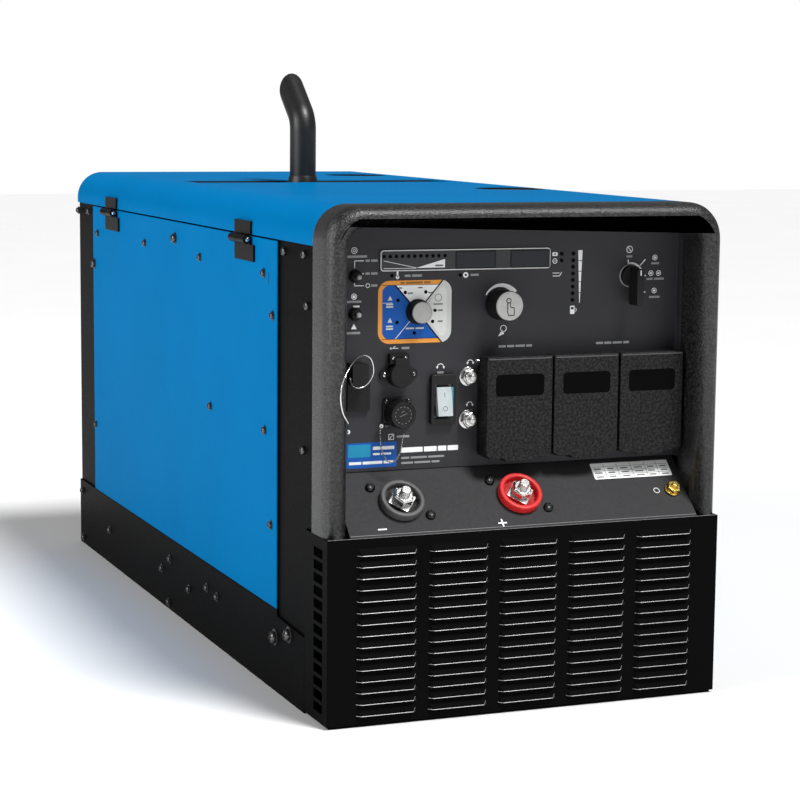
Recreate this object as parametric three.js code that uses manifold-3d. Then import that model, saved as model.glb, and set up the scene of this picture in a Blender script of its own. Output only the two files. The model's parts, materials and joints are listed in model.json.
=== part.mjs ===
// Engine driven welder generator with an air compressor, in millimetres, +Z up.
// Built in machine coordinates: x to the right seen from the front, y rearward from the grille's
// front plane, z up from the floor. The outer group then centres the machine on its origin.
import * as THREE from 'three';
import { mergeVertices } from 'three/addons/utils/BufferGeometryUtils.js';
import Module from 'manifold-3d';

const wasm = await Module();
wasm.setup();

// ---- driving dimensions -------------------------------------------------------------------
const WIDTH = 508;               // across the side panels
const DEPTH = 1190;              // grille face to rear panel face
const TOP_Z = 604;               // top of the lid
const SEAM_Z = 556;              // lid's lower edge
const GAP = 0.3;                 // clearance between touching pieces
const SKIN = 2.5;                // sheet thickness of covers
const HALF = WIDTH / 2;
const POST_X = HALF - 3.1;       // outer face of the corner posts, behind the door skins

const GRILLE_TOP = 223;          // top of the black louvred lower front
const GRILLE_WING = 78;          // how far the grille wraps each side
const SKIRT_TOP = 104;
const DOOR_FRONT = 182;
const DOOR_REAR = 1090;
const BEZEL_DEPTH = 54;
const BEZEL_INNER_X = 226;
const BEZEL_INNER_Z = 577;
const LID_RADIUS = 40;

const PANEL_Y = 68;              // front face of the control panel
const PANEL_BOTTOM = 288;        // where the control panel meets the sloping output panel
const LOUVRE = 5;                // how far a louvre hood stands out
const PIPE = {
  x: -28, y: 737, r: 19, bore: 17, base: 578, straight: 678, bend: 33, angle: 0.873, mouth: 788,
};
const FUEL = { x: 173, y: 448 };
const AIR = { x: 155, y: 1007 };
const CRANK = { x: 40, z: 215, pulley: 42 };
const COMPRESSOR = { x: -130, z: 190, pulley: 70 };
const BELT_Y = 828;
const BELT_WIDTH = 12;

const HINGE_Y = [304, 962];      // middle of each hinge
const PIN = { x: HALF + 6.5, z: 550, r: 2.5, barrel: 5.7 };

const SLOPE_ANGLE = Math.atan2(PANEL_BOTTOM - GRILLE_TOP, PANEL_Y);
const COVER_PITCH = 88.3;
const COVER_CENTRES = [0, 1, 2].map((i) => 2.5 + i * COVER_PITCH);
const COVER_HINGE = { y: 60, z: 416 };

// ---- colours and finishes -----------------------------------------------------------------
const FINISH = {
  blue: { color: 0x0a74b8, roughness: 0.35, metalness: 0.1 },
  black: { color: 0x101112, roughness: 0.45, metalness: 0.2 },
  bezel: { color: 0x17181a, roughness: 0.7, metalness: 0 },
  panel: { color: 0x2b2c2e, roughness: 0.6, metalness: 0.1 },
  plastic: { color: 0x18191a, roughness: 0.5, metalness: 0 },
  display: { color: 0x0c0e10, roughness: 0.2, metalness: 0 },
  knob: { color: 0x8f9193, roughness: 0.35, metalness: 0.6 },
  white: { color: 0xd8dcdc, roughness: 0.35, metalness: 0 },
  red: { color: 0xd02f30, roughness: 0.4, metalness: 0 },
  zinc: { color: 0xb4b6b4, roughness: 0.35, metalness: 0.9 },
  brass: { color: 0xc09a3a, roughness: 0.3, metalness: 0.9 },
  exhaust: { color: 0x202022, roughness: 0.6, metalness: 0.5 },
  castIron: { color: 0x55585a, roughness: 0.7, metalness: 0.6 },
  aluminium: { color: 0x9a9c9e, roughness: 0.45, metalness: 0.8 },
  rubber: { color: 0x1a1a1a, roughness: 0.8, metalness: 0 },
  tank: { color: 0x222426, roughness: 0.55, metalness: 0 },
};

const machine = new THREE.Group();
machine.position.y = -DEPTH / 2;

function add(name, geometry, finish) {
  const mesh = new THREE.Mesh(geometry, new THREE.MeshStandardMaterial(FINISH[finish]));
  mesh.name = name;
  machine.add(mesh);
}

// ---- shape helpers ------------------------------------------------------------------------
function box(x0, x1, y0, y1, z0, z1) {
  const geometry = new THREE.BoxGeometry(x1 - x0, y1 - y0, z1 - z0);
  return geometry.translate((x0 + x1) / 2, (y0 + y1) / 2, (z0 + z1) / 2);
}

// Extrudes an outline. 'x': outline is (y, z). 'y': outline is (x, z). 'z': outline is (x, y).
function prism(outline, axis, from, to, curveSegments = 8) {
  const shape = outline instanceof THREE.Shape
    ? outline
    : new THREE.Shape(outline.map(([u, v]) => new THREE.Vector2(u, v)));
  const geometry = new THREE.ExtrudeGeometry(shape, {
    depth: to - from, bevelEnabled: false, curveSegments,
  });
  geometry.translate(0, 0, from);
  if (axis === 'y') {
    geometry.rotateX(Math.PI / 2);
    geometry.scale(1, -1, 1);
    flip(geometry);
  }
  if (axis === 'x') {
    geometry.rotateX(Math.PI / 2);
    geometry.rotateZ(Math.PI / 2);
  }
  return geometry;
}

// Reverses the winding of a mesh after it has been mirrored.
function flip(geometry) {
  const order = geometry.index;
  if (order) {
    for (let i = 0; i < order.count; i += 3) {
      const second = order.getX(i + 1);
      order.setX(i + 1, order.getX(i + 2));
      order.setX(i + 2, second);
    }
    return geometry;
  }
  const position = geometry.attributes.position;
  const hold = new THREE.Vector3();
  const next = new THREE.Vector3();
  for (let i = 0; i < position.count; i += 3) {
    hold.fromBufferAttribute(position, i + 1);
    next.fromBufferAttribute(position, i + 2);
    position.setXYZ(i + 1, next.x, next.y, next.z);
    position.setXYZ(i + 2, hold.x, hold.y, hold.z);
  }
  return geometry;
}

function roundedRect(u0, u1, v0, v1, r) {
  const shape = new THREE.Shape();
  shape.moveTo(u0 + r, v0);
  shape.lineTo(u1 - r, v0);
  shape.absarc(u1 - r, v0 + r, r, -Math.PI / 2, 0);
  shape.lineTo(u1, v1 - r);
  shape.absarc(u1 - r, v1 - r, r, 0, Math.PI / 2);
  shape.lineTo(u0 + r, v1);
  shape.absarc(u0 + r, v1 - r, r, Math.PI / 2, Math.PI);
  shape.lineTo(u0, v0 + r);
  shape.absarc(u0 + r, v0 + r, r, Math.PI, Math.PI * 1.5);
  return shape;
}

// Turns a profile of (radius, distance forward) points about an axis that runs towards the front.
function turned(profile, x, y, z, segments = 24) {
  const points = profile.map(([r, h]) => new THREE.Vector2(r, h));
  const geometry = new THREE.LatheGeometry(points, segments);
  return geometry.rotateX(Math.PI).translate(x, y, z);
}

// A cylinder along 'x', 'y' or 'z' from one coordinate to the other.
function rod(axis, a, b, r, from, to, segments = 24) {
  const geometry = new THREE.CylinderGeometry(r, r, to - from, segments);
  const middle = (from + to) / 2;
  if (axis === 'y') return geometry.translate(a, middle, b);
  if (axis === 'z') return geometry.rotateX(Math.PI / 2).translate(a, b, middle);
  return geometry.rotateZ(Math.PI / 2).translate(middle, a, b);
}

// Moves a piece modelled about the z axis onto the sloping output panel.
function onSlope(geometry, x, y) {
  const z = GRILLE_TOP + y * Math.tan(SLOPE_ANGLE);
  return geometry.rotateX(SLOPE_ANGLE).translate(x, y, z);
}

function mirrored(geometry) {
  return flip(geometry.clone().scale(-1, 1, 1));
}

// ---- booleans -----------------------------------------------------------------------------
function toSolid(geometry) {
  const bare = geometry.clone();
  bare.deleteAttribute('normal');
  bare.deleteAttribute('uv');
  const merged = mergeVertices(bare, 1e-4);
  return new wasm.Manifold(new wasm.Mesh({
    numProp: 3,
    vertProperties: new Float32Array(merged.attributes.position.array),
    triVerts: new Uint32Array(merged.index.array),
  }));
}

function toGeometry(solid) {
  const { vertProperties, triVerts } = solid.getMesh();
  const geometry = new THREE.BufferGeometry();
  geometry.setAttribute('position', new THREE.BufferAttribute(vertProperties, 3));
  geometry.setIndex(new THREE.BufferAttribute(triVerts, 1));
  return geometry;
}

function join(...pieces) {
  return toGeometry(pieces.map(toSolid).reduce((all, piece) => all.add(piece)));
}

function cut(piece, ...tools) {
  return toGeometry(tools.map(toSolid).reduce((rest, tool) => rest.subtract(tool), toSolid(piece)));
}

// ---- louvres ------------------------------------------------------------------------------
// One louvre hood, standing out towards the front (-y) from a plate whose face is at y = 0.
// Its ends taper in, and its lower edge runs out to a lip.
function hood(width, height, reach, back) {
  const half = width / 2;
  const lip = half - reach;
  const corners = [
    [-half, back, 0], [half, back, 0], [half, back, height], [-half, back, height],
    [-lip, -reach, 0], [lip, -reach, 0],
  ];
  const faces = [0, 2, 1, 0, 3, 2, 0, 1, 5, 0, 5, 4, 1, 2, 5, 2, 3, 4, 2, 4, 5, 3, 0, 4];
  const geometry = new THREE.BufferGeometry();
  geometry.setAttribute('position', new THREE.Float32BufferAttribute(corners.flat(), 3));
  geometry.setIndex(faces);
  return geometry;
}

// Adds a bank of louvres to a plate whose outer face is at y = face; side is -1 for a face that
// looks to the front and 1 for one that looks to the rear.
function louvred(plate, columns, rows, width, pitch, bottom, face, side) {
  let solid = toSolid(plate);
  const outer = toSolid(hood(width, 10, LOUVRE, 1));
  const inner = toSolid(hood(width - 4, 8.5, LOUVRE - 1.5, SKIN + 1).translate(0, 0, -0.6));
  for (const x of columns) {
    for (let row = 0; row < rows; row += 1) {
      const z = bottom + row * pitch;
      const turn = side > 0 ? [0, 0, 180] : [0, 0, 0];
      solid = solid.add(outer.rotate(turn).translate([x, face, z]));
      solid = solid.subtract(inner.rotate(turn).translate([x, face, z]));
    }
  }
  return toGeometry(solid);
}

// ---- chassis ------------------------------------------------------------------------------
function baseTray() {
  const floor = box(-HALF + 3.4, HALF - 3.4, 3, DEPTH - 3, 0, 3);
  const rails = [-25, 105].map((x) => box(x - 25, x + 25, 120, 1080, 2, 40));
  return join(floor, ...rails);
}

function skirt() {
  const outline = [
    [GRILLE_WING + GAP, 0], [DEPTH, 0], [DEPTH, SKIRT_TOP], [DOOR_FRONT - 2, SKIRT_TOP],
    [DOOR_FRONT - 2, SKIRT_TOP - 8], [GRILLE_WING + GAP, SKIRT_TOP - 12],
  ];
  return prism(outline, 'x', -HALF, -HALF + 2.8);
}

function frontGrille() {
  const front = box(-HALF, HALF, 0, SKIN, 3.3, GRILLE_TOP);
  const lip = box(-HALF, HALF, 0, 12, GRILLE_TOP - SKIN, GRILLE_TOP);
  const wings = [-HALF, HALF - SKIN].map((x) => box(x, x + SKIN, 0, GRILLE_WING, 3.3, GRILLE_TOP));
  const slots = [];
  for (let row = 0; row < 13; row += 1) {
    const z = 14.8 + row * 15.3;
    slots.push(box(-HALF - 1, HALF + 1, 16, 46, z, z + 10.6));
  }
  const shell = cut(join(front, lip, ...wings), ...slots);
  return louvred(shell, [-180, -90, 0, 90, 180], 15, 75, 13.5, 14, 0, -1);
}

function post() {
  const outline = [
    [BEZEL_DEPTH + GAP, GRILLE_TOP + GAP], [GRILLE_WING + GAP, GRILLE_TOP + GAP],
    [GRILLE_WING + GAP, SKIRT_TOP - 20], [DOOR_FRONT + 12, SKIRT_TOP - 20],
    [DOOR_FRONT + 12, SEAM_Z - GAP], [BEZEL_DEPTH + GAP, SEAM_Z - GAP],
  ];
  return prism(outline, 'x', -POST_X, -POST_X + 2.2);
}

function rearPanel() {
  const plate = box(-POST_X + GAP, POST_X - GAP, DEPTH - SKIN, DEPTH, 3.3, SEAM_Z - GAP);
  const sides = [-POST_X, POST_X - 2.2].map((x) => (
    box(x, x + 2.2, DOOR_REAR - 12, DEPTH, SKIRT_TOP - 10, SEAM_Z - GAP)
  ));
  return louvred(join(plate, ...sides), [-135, -45, 45, 135], 8, 75, 27, 300, DEPTH, 1);
}

// ---- front -------------------------------------------------------------------------------
// The inverted U of the front frame, drawn inset by d all round its bar.
function bezelOutline(d) {
  const outer = HALF - d;
  const inner = BEZEL_INNER_X + d;
  const top = TOP_Z - d;
  const under = BEZEL_INNER_Z + d;
  const foot = GRILLE_TOP + GAP;
  const shape = new THREE.Shape();
  shape.moveTo(-outer, foot);
  shape.lineTo(-inner, foot);
  shape.lineTo(-inner, under - 22);
  shape.absarc(-inner + 22, under - 22, 22, Math.PI, Math.PI / 2, true);
  shape.lineTo(inner - 22, under);
  shape.absarc(inner - 22, under - 22, 22, Math.PI / 2, 0, true);
  shape.lineTo(inner, foot);
  shape.lineTo(outer, foot);
  shape.lineTo(outer, top - LID_RADIUS);
  shape.absarc(outer - LID_RADIUS, top - LID_RADIUS, LID_RADIUS, 0, Math.PI / 2);
  shape.lineTo(-outer + LID_RADIUS, top);
  shape.absarc(-outer + LID_RADIUS, top - LID_RADIUS, LID_RADIUS, Math.PI / 2, Math.PI);
  return shape;
}

// Steps the frame's bar in towards its nose, so that its front edges are rounded.
function frontBezel() {
  const nose = 12;
  const reach = 24;
  const steps = 5;
  const inset = (k) => nose * (1 - Math.cos((k / steps) * Math.PI / 2));
  const front = (k) => reach * (1 - Math.sin((k / steps) * Math.PI / 2));
  const rings = [[0, BEZEL_DEPTH]];
  for (let k = 0; k <= steps; k += 1) rings.push([inset(k), front(k)]);
  const outlines = rings.map(([d]) => bezelOutline(d).extractPoints(6).shape);
  const count = outlines[0].length;
  const vertices = [];
  outlines.forEach((ring, k) => ring.forEach((p) => vertices.push(p.x, rings[k][1], p.y)));
  const faces = [];
  for (let k = 0; k + 1 < outlines.length; k += 1) {
    for (let i = 0; i < count; i += 1) {
      const a = k * count + i;
      const b = k * count + ((i + 1) % count);
      faces.push(a, b, b + count, a, b + count, a + count);
    }
  }
  const last = (outlines.length - 1) * count;
  for (const [a, b, c] of THREE.ShapeUtils.triangulateShape(outlines[0], [])) {
    faces.push(a, c, b);
    faces.push(last + a, last + b, last + c);
  }
  const geometry = new THREE.BufferGeometry();
  geometry.setAttribute('position', new THREE.Float32BufferAttribute(vertices, 3));
  geometry.setIndex(faces);
  return geometry;
}

// A sheet folded forward at its sides and top, so that it closes the recess behind the frame.
function controlPanel() {
  const reach = BEZEL_INNER_X + 2.5;
  const top = BEZEL_INNER_Z + 2.5;
  const face = box(-reach, reach, PANEL_Y, PANEL_Y + SKIN, PANEL_BOTTOM + GAP, top);
  const folds = [-reach, reach - 2.2].map((x) => (
    box(x, x + 2.2, BEZEL_DEPTH + GAP, PANEL_Y + 1, PANEL_BOTTOM + GAP, top)
  ));
  const roof = box(-reach, reach, BEZEL_DEPTH + GAP, PANEL_Y + 1, top - 2.2, top);
  return join(face, roof, ...folds);
}

function outputPanel() {
  const rise = Math.tan(SLOPE_ANGLE);
  const drop = SKIN / Math.cos(SLOPE_ANGLE);
  const start = GAP / rise;
  const outline = [
    [start, GRILLE_TOP + GAP], [start + drop / rise, GRILLE_TOP + GAP],
    [PANEL_Y + SKIN, PANEL_BOTTOM - drop + SKIN * rise], [PANEL_Y + SKIN, PANEL_BOTTOM],
    [PANEL_Y, PANEL_BOTTOM],
  ];
  return prism(outline, 'x', -BEZEL_INNER_X + GAP, BEZEL_INNER_X - GAP);
}

// ---- top and doors ------------------------------------------------------------------------
function lidOutline(inset, floor) {
  const outer = HALF - inset;
  const top = TOP_Z - inset;
  const r = LID_RADIUS - inset;
  const shape = new THREE.Shape();
  shape.moveTo(-outer, floor);
  shape.lineTo(outer, floor);
  shape.lineTo(outer, top - r);
  shape.absarc(outer - r, top - r, r, 0, Math.PI / 2);
  shape.lineTo(-outer + r, top);
  shape.absarc(-outer + r, top - r, r, Math.PI / 2, Math.PI);
  return shape;
}

// A round well in the lid: a cup hung under its skin.
const WELL = { r: 50, depth: 20 };

function topCover() {
  const front = BEZEL_DEPTH + GAP;
  const outer = prism(lidOutline(0, SEAM_Z), 'y', front, DEPTH);
  const inner = prism(lidOutline(SKIN, SEAM_Z - 5), 'y', front - 1, DEPTH - SKIN);
  const shell = cut(outer, inner);
  const trough = { x: 196, y0: 706, y1: 790, depth: 8 };
  const pan = box(-trough.x - 2, trough.x + 2, trough.y0 - 2, trough.y1 + 2,
    TOP_Z - trough.depth - SKIN, TOP_Z - 1);
  const wells = [FUEL, AIR].map(({ x, y }) => (
    rod('z', x, y, WELL.r + 2, TOP_Z - WELL.depth - SKIN, TOP_Z - 1, 20)
  ));
  const hollows = [FUEL, AIR].map(({ x, y }) => (
    rod('z', x, y, WELL.r, TOP_Z - WELL.depth, TOP_Z + 1, 20)
  ));
  const channel = box(-trough.x, trough.x, trough.y0, trough.y1, TOP_Z - trough.depth, TOP_Z + 1);
  const pipeHole = rod('z', PIPE.x, PIPE.y, PIPE.r + 2, 560, TOP_Z + 1, 20);
  const neckHole = rod('z', FUEL.x, FUEL.y, 25, 560, TOP_Z + 1, 20);
  const slots = [];
  for (let i = 0; i < 14; i += 1) {
    const x = -184 + i * 28;
    if (Math.abs(x - PIPE.x) > 30) slots.push(box(x - 11, x + 11, 770, 776, 560, TOP_Z));
  }
  return cut(join(shell, pan, ...wells), channel, pipeHole, neckHole, ...hollows, ...slots);
}

function sideDoor() {
  const skin = box(-HALF, -HALF + 2, DOOR_FRONT + GAP, DOOR_REAR - GAP, SKIRT_TOP + GAP, SEAM_Z - 2);
  const frame = box(-HALF + 1, -HALF + 13, DOOR_FRONT + 16, DOOR_REAR - 16, SKIRT_TOP + 18, 534);
  const middle = box(-HALF, -HALF + 14, DOOR_FRONT + 18, DOOR_REAR - 18, SKIRT_TOP + 20, 532);
  const rim = cut(frame, middle);
  return join(skin, rim);
}

// The lid's half of a hinge: leaf, rear knuckle and the pin that runs on through the other half.
function hingeOnLid(y) {
  const leaf = box(-HALF - 3, -HALF - GAP, y - 26, y + 38, PIN.z + PIN.barrel + 0.6, 572.5);
  const drop = box(-HALF - 3, -HALF - GAP, y + 6, y + 38, PIN.z, 560);
  const knuckle = rod('y', -PIN.x, PIN.z, PIN.barrel, y + 6, y + 37, 12);
  const pin = rod('y', -PIN.x, PIN.z, PIN.r, y - 27, y + 7, 12);
  return join(leaf, drop, knuckle, pin);
}

function hingeOnDoor(y) {
  const leaf = box(-HALF - 3, -HALF - GAP, y - 38, y + 38, 523, PIN.z - PIN.barrel - 0.8);
  const rise = box(-HALF - 3, -HALF - GAP, y - 25, y + 5.4, 540, PIN.z);
  const knuckle = rod('y', -PIN.x, PIN.z, PIN.barrel, y - 25, y + 5.4, 12);
  return cut(join(leaf, rise, knuckle), rod('y', -PIN.x, PIN.z, PIN.r + 0.4, y - 30, y + 8, 12));
}

// ---- controls -----------------------------------------------------------------------------
const FACE = PANEL_Y - GAP;      // where pieces seat on the control panel

const knobAt = (x, z, profile) => turned(profile, x, FACE, z, 24);

function engineSwitch() {
  const { x, z } = SWITCH;
  const base = rod('y', x, z, 13, FACE - 8, FACE, 24);
  const blade = prism(roundedRect(x - 4.5, x + 4.5, z - 35, z + 10, 3), 'y', FACE - 29, FACE - 7, 2);
  return join(base, blade);
}

// The lever's ball end leaves room for it to tilt about a point 3 mm off the panel.
function toggleLever({ x, z }) {
  const profile = [[0, 0.3], [1.9, 1], [2.7, 3], [2.4, 6], [3.1, 13.4], [2.6, 15.4], [0, 16.2]];
  return turned(profile, x, FACE, z, 12);
}

const SWITCH = { x: 161, z: 513 };
const ADJUST = { x: -12.3, z: 482.4 };
const SELECT = { x: -118, z: 476 };
const TOGGLES = { compressor_toggle: { x: -197, z: 519 }, charge_toggle: { x: -197, z: 475 } };
const ROCKER = { x: -86, z: 369 };
const RESETS = { upper_reset_button: 397, lower_reset_button: 345.5 };
const RESET_X = -52.3;
const SOCKET = { x: -142.5, z: 403 };
const REMOTE = { x: -144, z: 357 };
const AUX = { x: -197, z: 406 };

function breakerFrame() {
  const body = prism(roundedRect(ROCKER.x - 16, ROCKER.x + 16, 341, 401, 3), 'y', 61, FACE, 2);
  return cut(body, box(ROCKER.x - 11, ROCKER.x + 11, 60, 66.3, 349, 389));
}

// Seen from its end the rocker is a shallow V, with its upper half pressed in. Its back slopes
// away on both sides of the pivot, so that the lower half can be pressed in instead.
function breakerRocker() {
  const half = 17;
  const outline = [
    [65.4, ROCKER.z - 2], [60.4, ROCKER.z - half], [54.2, ROCKER.z - half], [57.4, ROCKER.z],
    [60.4, ROCKER.z + half], [64.4, ROCKER.z + half], [65.4, ROCKER.z + 2],
  ];
  return prism([...outline].reverse(), 'x', ROCKER.x - 9.5, ROCKER.x + 9.5);
}

function resetButton(z) {
  return turned([[0, 4], [4.2, 4], [4.2, 16], [3.4, 17], [0, 17]], RESET_X, FACE, z, 16);
}

// Low-voltage socket: a flange with two ears, and a raised ring round its bore.
function utilitySocket() {
  const { x, z } = SOCKET;
  const flange = prism(roundedRect(x - 24, x + 24, z - 6, z + 6, 5.9), 'y', FACE - 3, FACE, 3);
  const ring = rod('y', x, z, 15, FACE - 12, FACE, 24);
  const hinge = box(x - 13, x + 11, FACE - 9, FACE, z + 13, z + 24.5);
  return cut(join(flange, ring, hinge), rod('y', x, z, 10.5, FACE - 20, FACE - 1.5, 24));
}

function socketCover() {
  const { x, z } = SOCKET;
  const lid = rod('y', x, z, 14.5, FACE - 15.5, FACE - 12 - GAP, 24);
  const tab = box(x - 9, x + 9, FACE - 15.5, FACE - 12 - GAP, z + 8, z + 20);
  return join(lid, tab);
}

function remoteReceptacle() {
  const { x, z } = REMOTE;
  const flange = prism(roundedRect(x - 18, x + 18, z - 18, z + 18, 5), 'y', FACE - 3, FACE, 3);
  return join(flange, rod('y', x, z, 13, FACE - 14, FACE - 2, 24));
}

function remoteCap() {
  const { x, z } = REMOTE;
  const profile = [[0, 14.4], [13.5, 14.4], [13.5, 5], [16.5, 5], [16.5, 22], [15, 24], [0, 24]];
  return turned(profile, x, FACE, z, 24);
}

function auxSocket() {
  const { x, z } = AUX;
  const plug = prism(roundedRect(x - 10, x + 10, z - 13, z + 13, 2), 'y', 46, FACE, 2);
  const shoe = box(x - 10, x + 18, 63, FACE, z - 44, z - 12);
  return join(plug, shoe);
}

// A deep flap with side walls. Its upper rear corner is relieved, so that it clears the panel as
// it turns up about its hinge line.
function receptacleCover(x) {
  const w = 42.8;
  const outline = [
    [x - w, 305], [x - w + 6, 300], [x - 20, 300], [x - 17, 296], [x + 17, 296], [x + 20, 300],
    [x + w - 6, 300], [x + w, 305], [x + w, 422], [x - w, 422],
  ];
  const outer = prism(outline, 'y', 38, FACE - 0.5);
  const inner = box(x - w + 2.5, x + w - 2.5, 41, 70, 303, 419);
  const heel = box(x - w - 1, x + w + 1, COVER_HINGE.y + 1.5, 70, COVER_HINGE.z - 7, 430);
  return cut(outer, inner, heel);
}

function outlet(x) {
  return prism(roundedRect(x - 36, x + 36, 308, 408, 6), 'y', 58, FACE, 2);
}

// ---- output terminals ---------------------------------------------------------------------
function insulator(x) {
  const ring = [
    [11, 0], [27, 0], [27, 8.8], [25.8, 10], [22.2, 10], [21, 8.8], [21, 1.8], [11, 1.8], [11, 0],
  ];
  const points = ring.map(([r, h]) => new THREE.Vector2(r, h + GAP));
  const geometry = new THREE.LatheGeometry(points, 24).rotateX(Math.PI / 2);
  return onSlope(geometry, x, 34);
}

const WASHER_TURN = 0.9;         // the square washer stands on one corner
const NUT_TURN = 0.2;

function weldStud(x) {
  const seat = new THREE.CylinderGeometry(10, 10, 4, 20).translate(0, 2 + GAP, 0);
  const washer = new THREE.BoxGeometry(26, 3.4, 26).rotateY(WASHER_TURN).translate(0, 4.6, 0);
  const nut = new THREE.CylinderGeometry(12.7, 12.7, 11, 6).rotateY(NUT_TURN).translate(0, 11.5, 0);
  const stud = new THREE.CylinderGeometry(6.3, 6.3, 11, 12).translate(0, 21, 0);
  return onSlope(join(seat, washer, nut, stud).rotateX(Math.PI / 2), x, 34);
}

function groundStud() {
  const nut = new THREE.CylinderGeometry(8, 8, 6, 6).translate(0, 3 + GAP, 0);
  const stud = new THREE.CylinderGeometry(4, 4, 9, 12).translate(0, 9, 0);
  return onSlope(join(nut, stud).rotateX(Math.PI / 2), 206, 30);
}

// ---- wire lanyard and bead chain ----------------------------------------------------------
const LANYARD = [
  [-207, 60, 338], [-213, 46, 339], [-220, 31, 343], [-223.5, 18, 348], [-228, 3, 356],
  [-237, -3, 370], [-241, -6, 388], [-238, -5, 405], [-227, 4, 420], [-215, 14, 429],
  [-203, 22, 432], [-193, 27, 428], [-188, 30, 418], [-188, 31, 408], [-193, 32, 399],
  [-200, 32, 394], [-209, 30, 394], [-217, 23, 399], [-222, 15, 407],
];
const CHAIN = [
  [-165, 61, 343], [-168, 58.5, 337], [-168, 57, 328], [-168, 54, 318], [-165, 51, 308],
  [-160, 49, 302], [-154, 46, 303], [-150, 43, 310], [-148, 41, 319], [-147, 40, 328],
  [-145.5, 40, 335],
];

function cordTube(points, r, steps) {
  const curve = new THREE.CatmullRomCurve3(points.map((p) => new THREE.Vector3(...p)));
  const section = new THREE.Shape();
  section.absarc(0, 0, r, 0, Math.PI * 2);
  return new THREE.ExtrudeGeometry(section, { extrudePath: curve, steps, curveSegments: 4 });
}

// ---- exhaust ------------------------------------------------------------------------------
// Straight up, a tight bend to the rear and a straight tail. Most of the steps fall in the bend.
const BEND_START = 0.1;          // the bend takes the middle of the line, from 0.1 to 0.9
const BEND_END = 0.9;
const TAIL = 80;

class ExhaustLine extends THREE.Curve {
  getUtoTmapping(u) {
    return u;
  }

  getPoint(t) {
    const rise = Math.min(t / BEND_START, 1) * (PIPE.straight - PIPE.base);
    const share = (t - BEND_START) / (BEND_END - BEND_START);
    const turn = THREE.MathUtils.clamp(share, 0, 1) * PIPE.angle;
    const tail = Math.max((t - BEND_END) / (1 - BEND_END), 0) * TAIL;
    return new THREE.Vector3(
      PIPE.x,
      PIPE.y + PIPE.bend * (1 - Math.cos(turn)) + tail * Math.sin(turn),
      PIPE.base + rise + PIPE.bend * Math.sin(turn) + tail * Math.cos(turn),
    );
  }
}

// The tail is cut off upright, so that its mouth faces the rear.
function exhaustPipe() {
  const sweep = (r) => {
    const section = new THREE.Shape();
    section.absarc(0, 0, r, 0, Math.PI * 2);
    return section;
  };
  const wall = sweep(PIPE.r);
  wall.holes.push(sweep(PIPE.bore));
  const tube = new THREE.ExtrudeGeometry(wall, {
    extrudePath: new ExhaustLine(), steps: 10, curveSegments: 12,
  });
  const ring = [[18, 0], [22, 0], [21.6, 9], [19.8, 16], [18, 16], [18, 0]];
  const points = ring.map(([r, h]) => new THREE.Vector2(r, h));
  const collar = new THREE.LatheGeometry(points, 24).rotateX(Math.PI / 2);
  const beyond = box(PIPE.x - 30, PIPE.x + 30, PIPE.mouth, PIPE.mouth + TAIL, 640, 860);
  return join(cut(tube, beyond), collar.translate(PIPE.x, PIPE.y, TOP_Z - 7.5));
}

function muffler() {
  const body = prism(roundedRect(-118, 62, 440, 530, 40), 'y', 600, 860, 5);
  return join(body, rod('z', PIPE.x, PIPE.y, PIPE.bore - 1, 520, 600, 20));
}

// ---- engine, generator and compressor -----------------------------------------------------
function engineBlock() {
  const { x, z } = CRANK;
  const sump = box(x - 105, x + 105, 485, 800, 44, 190);
  const upper = prism([[x - 105, 189], [x + 105, 189], [x + 60, 330], [x - 60, 330]], 'y', 485, 800);
  const pieces = [sump, upper];
  for (const side of [-1, 1]) {
    for (let i = 0; i < 6; i += 1) {
      const fin = box(-52, 52, 540, 730, 96 + i * 14, 102 + i * 14);
      pieces.push(fin.rotateY(side * 0.78).translate(x, 0, z));
    }
    const barrel = box(-42, 42, 550, 720, 60, 196);
    pieces.push(barrel.rotateY(side * 0.78).translate(x, 0, z));
  }
  return cut(join(...pieces), rod('y', x, z, 22, 400, 900, 20));
}

function stator() {
  const { x, z } = CRANK;
  const barrel = rod('y', x, z, 125, 160, 430, 28);
  const feet = box(x - 110, x + 110, 190, 400, 44, 120);
  return cut(join(barrel, feet), rod('y', x, z, 92, 100, 500, 28));
}

function crankshaft() {
  const { x, z, pulley } = CRANK;
  return join(
    rod('y', x, z, 21, 130, BELT_Y + BELT_WIDTH + 6, 20),
    rod('y', x, z, 88, 190, 400, 28),
    rod('y', x, z, 118, 440, 470, 28),
    rod('y', x, z, pulley, BELT_Y - 2, BELT_Y + BELT_WIDTH + 2, 24),
  );
}

function compressorPulley() {
  const { x, z, pulley } = COMPRESSOR;
  return join(
    rod('y', x, z, pulley, BELT_Y - 2, BELT_Y + BELT_WIDTH + 2, 28),
    rod('y', x, z, 18, BELT_Y - 4, 869.7, 16),
  );
}

function compressor() {
  const { x, z } = COMPRESSOR;
  const crankcase = rod('y', x, z, 80, 870, 1060, 24);
  const foot = box(x - 75, x + 75, 880, 1050, 3 + GAP, 150);
  const pieces = [crankcase, foot, box(x - 45, x + 45, 890, 1040, 250, 400)];
  for (let i = 0; i < 5; i += 1) pieces.push(box(x - 60, x + 60, 880, 1050, 280 + i * 24, 288 + i * 24));
  return join(...pieces);
}

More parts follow.
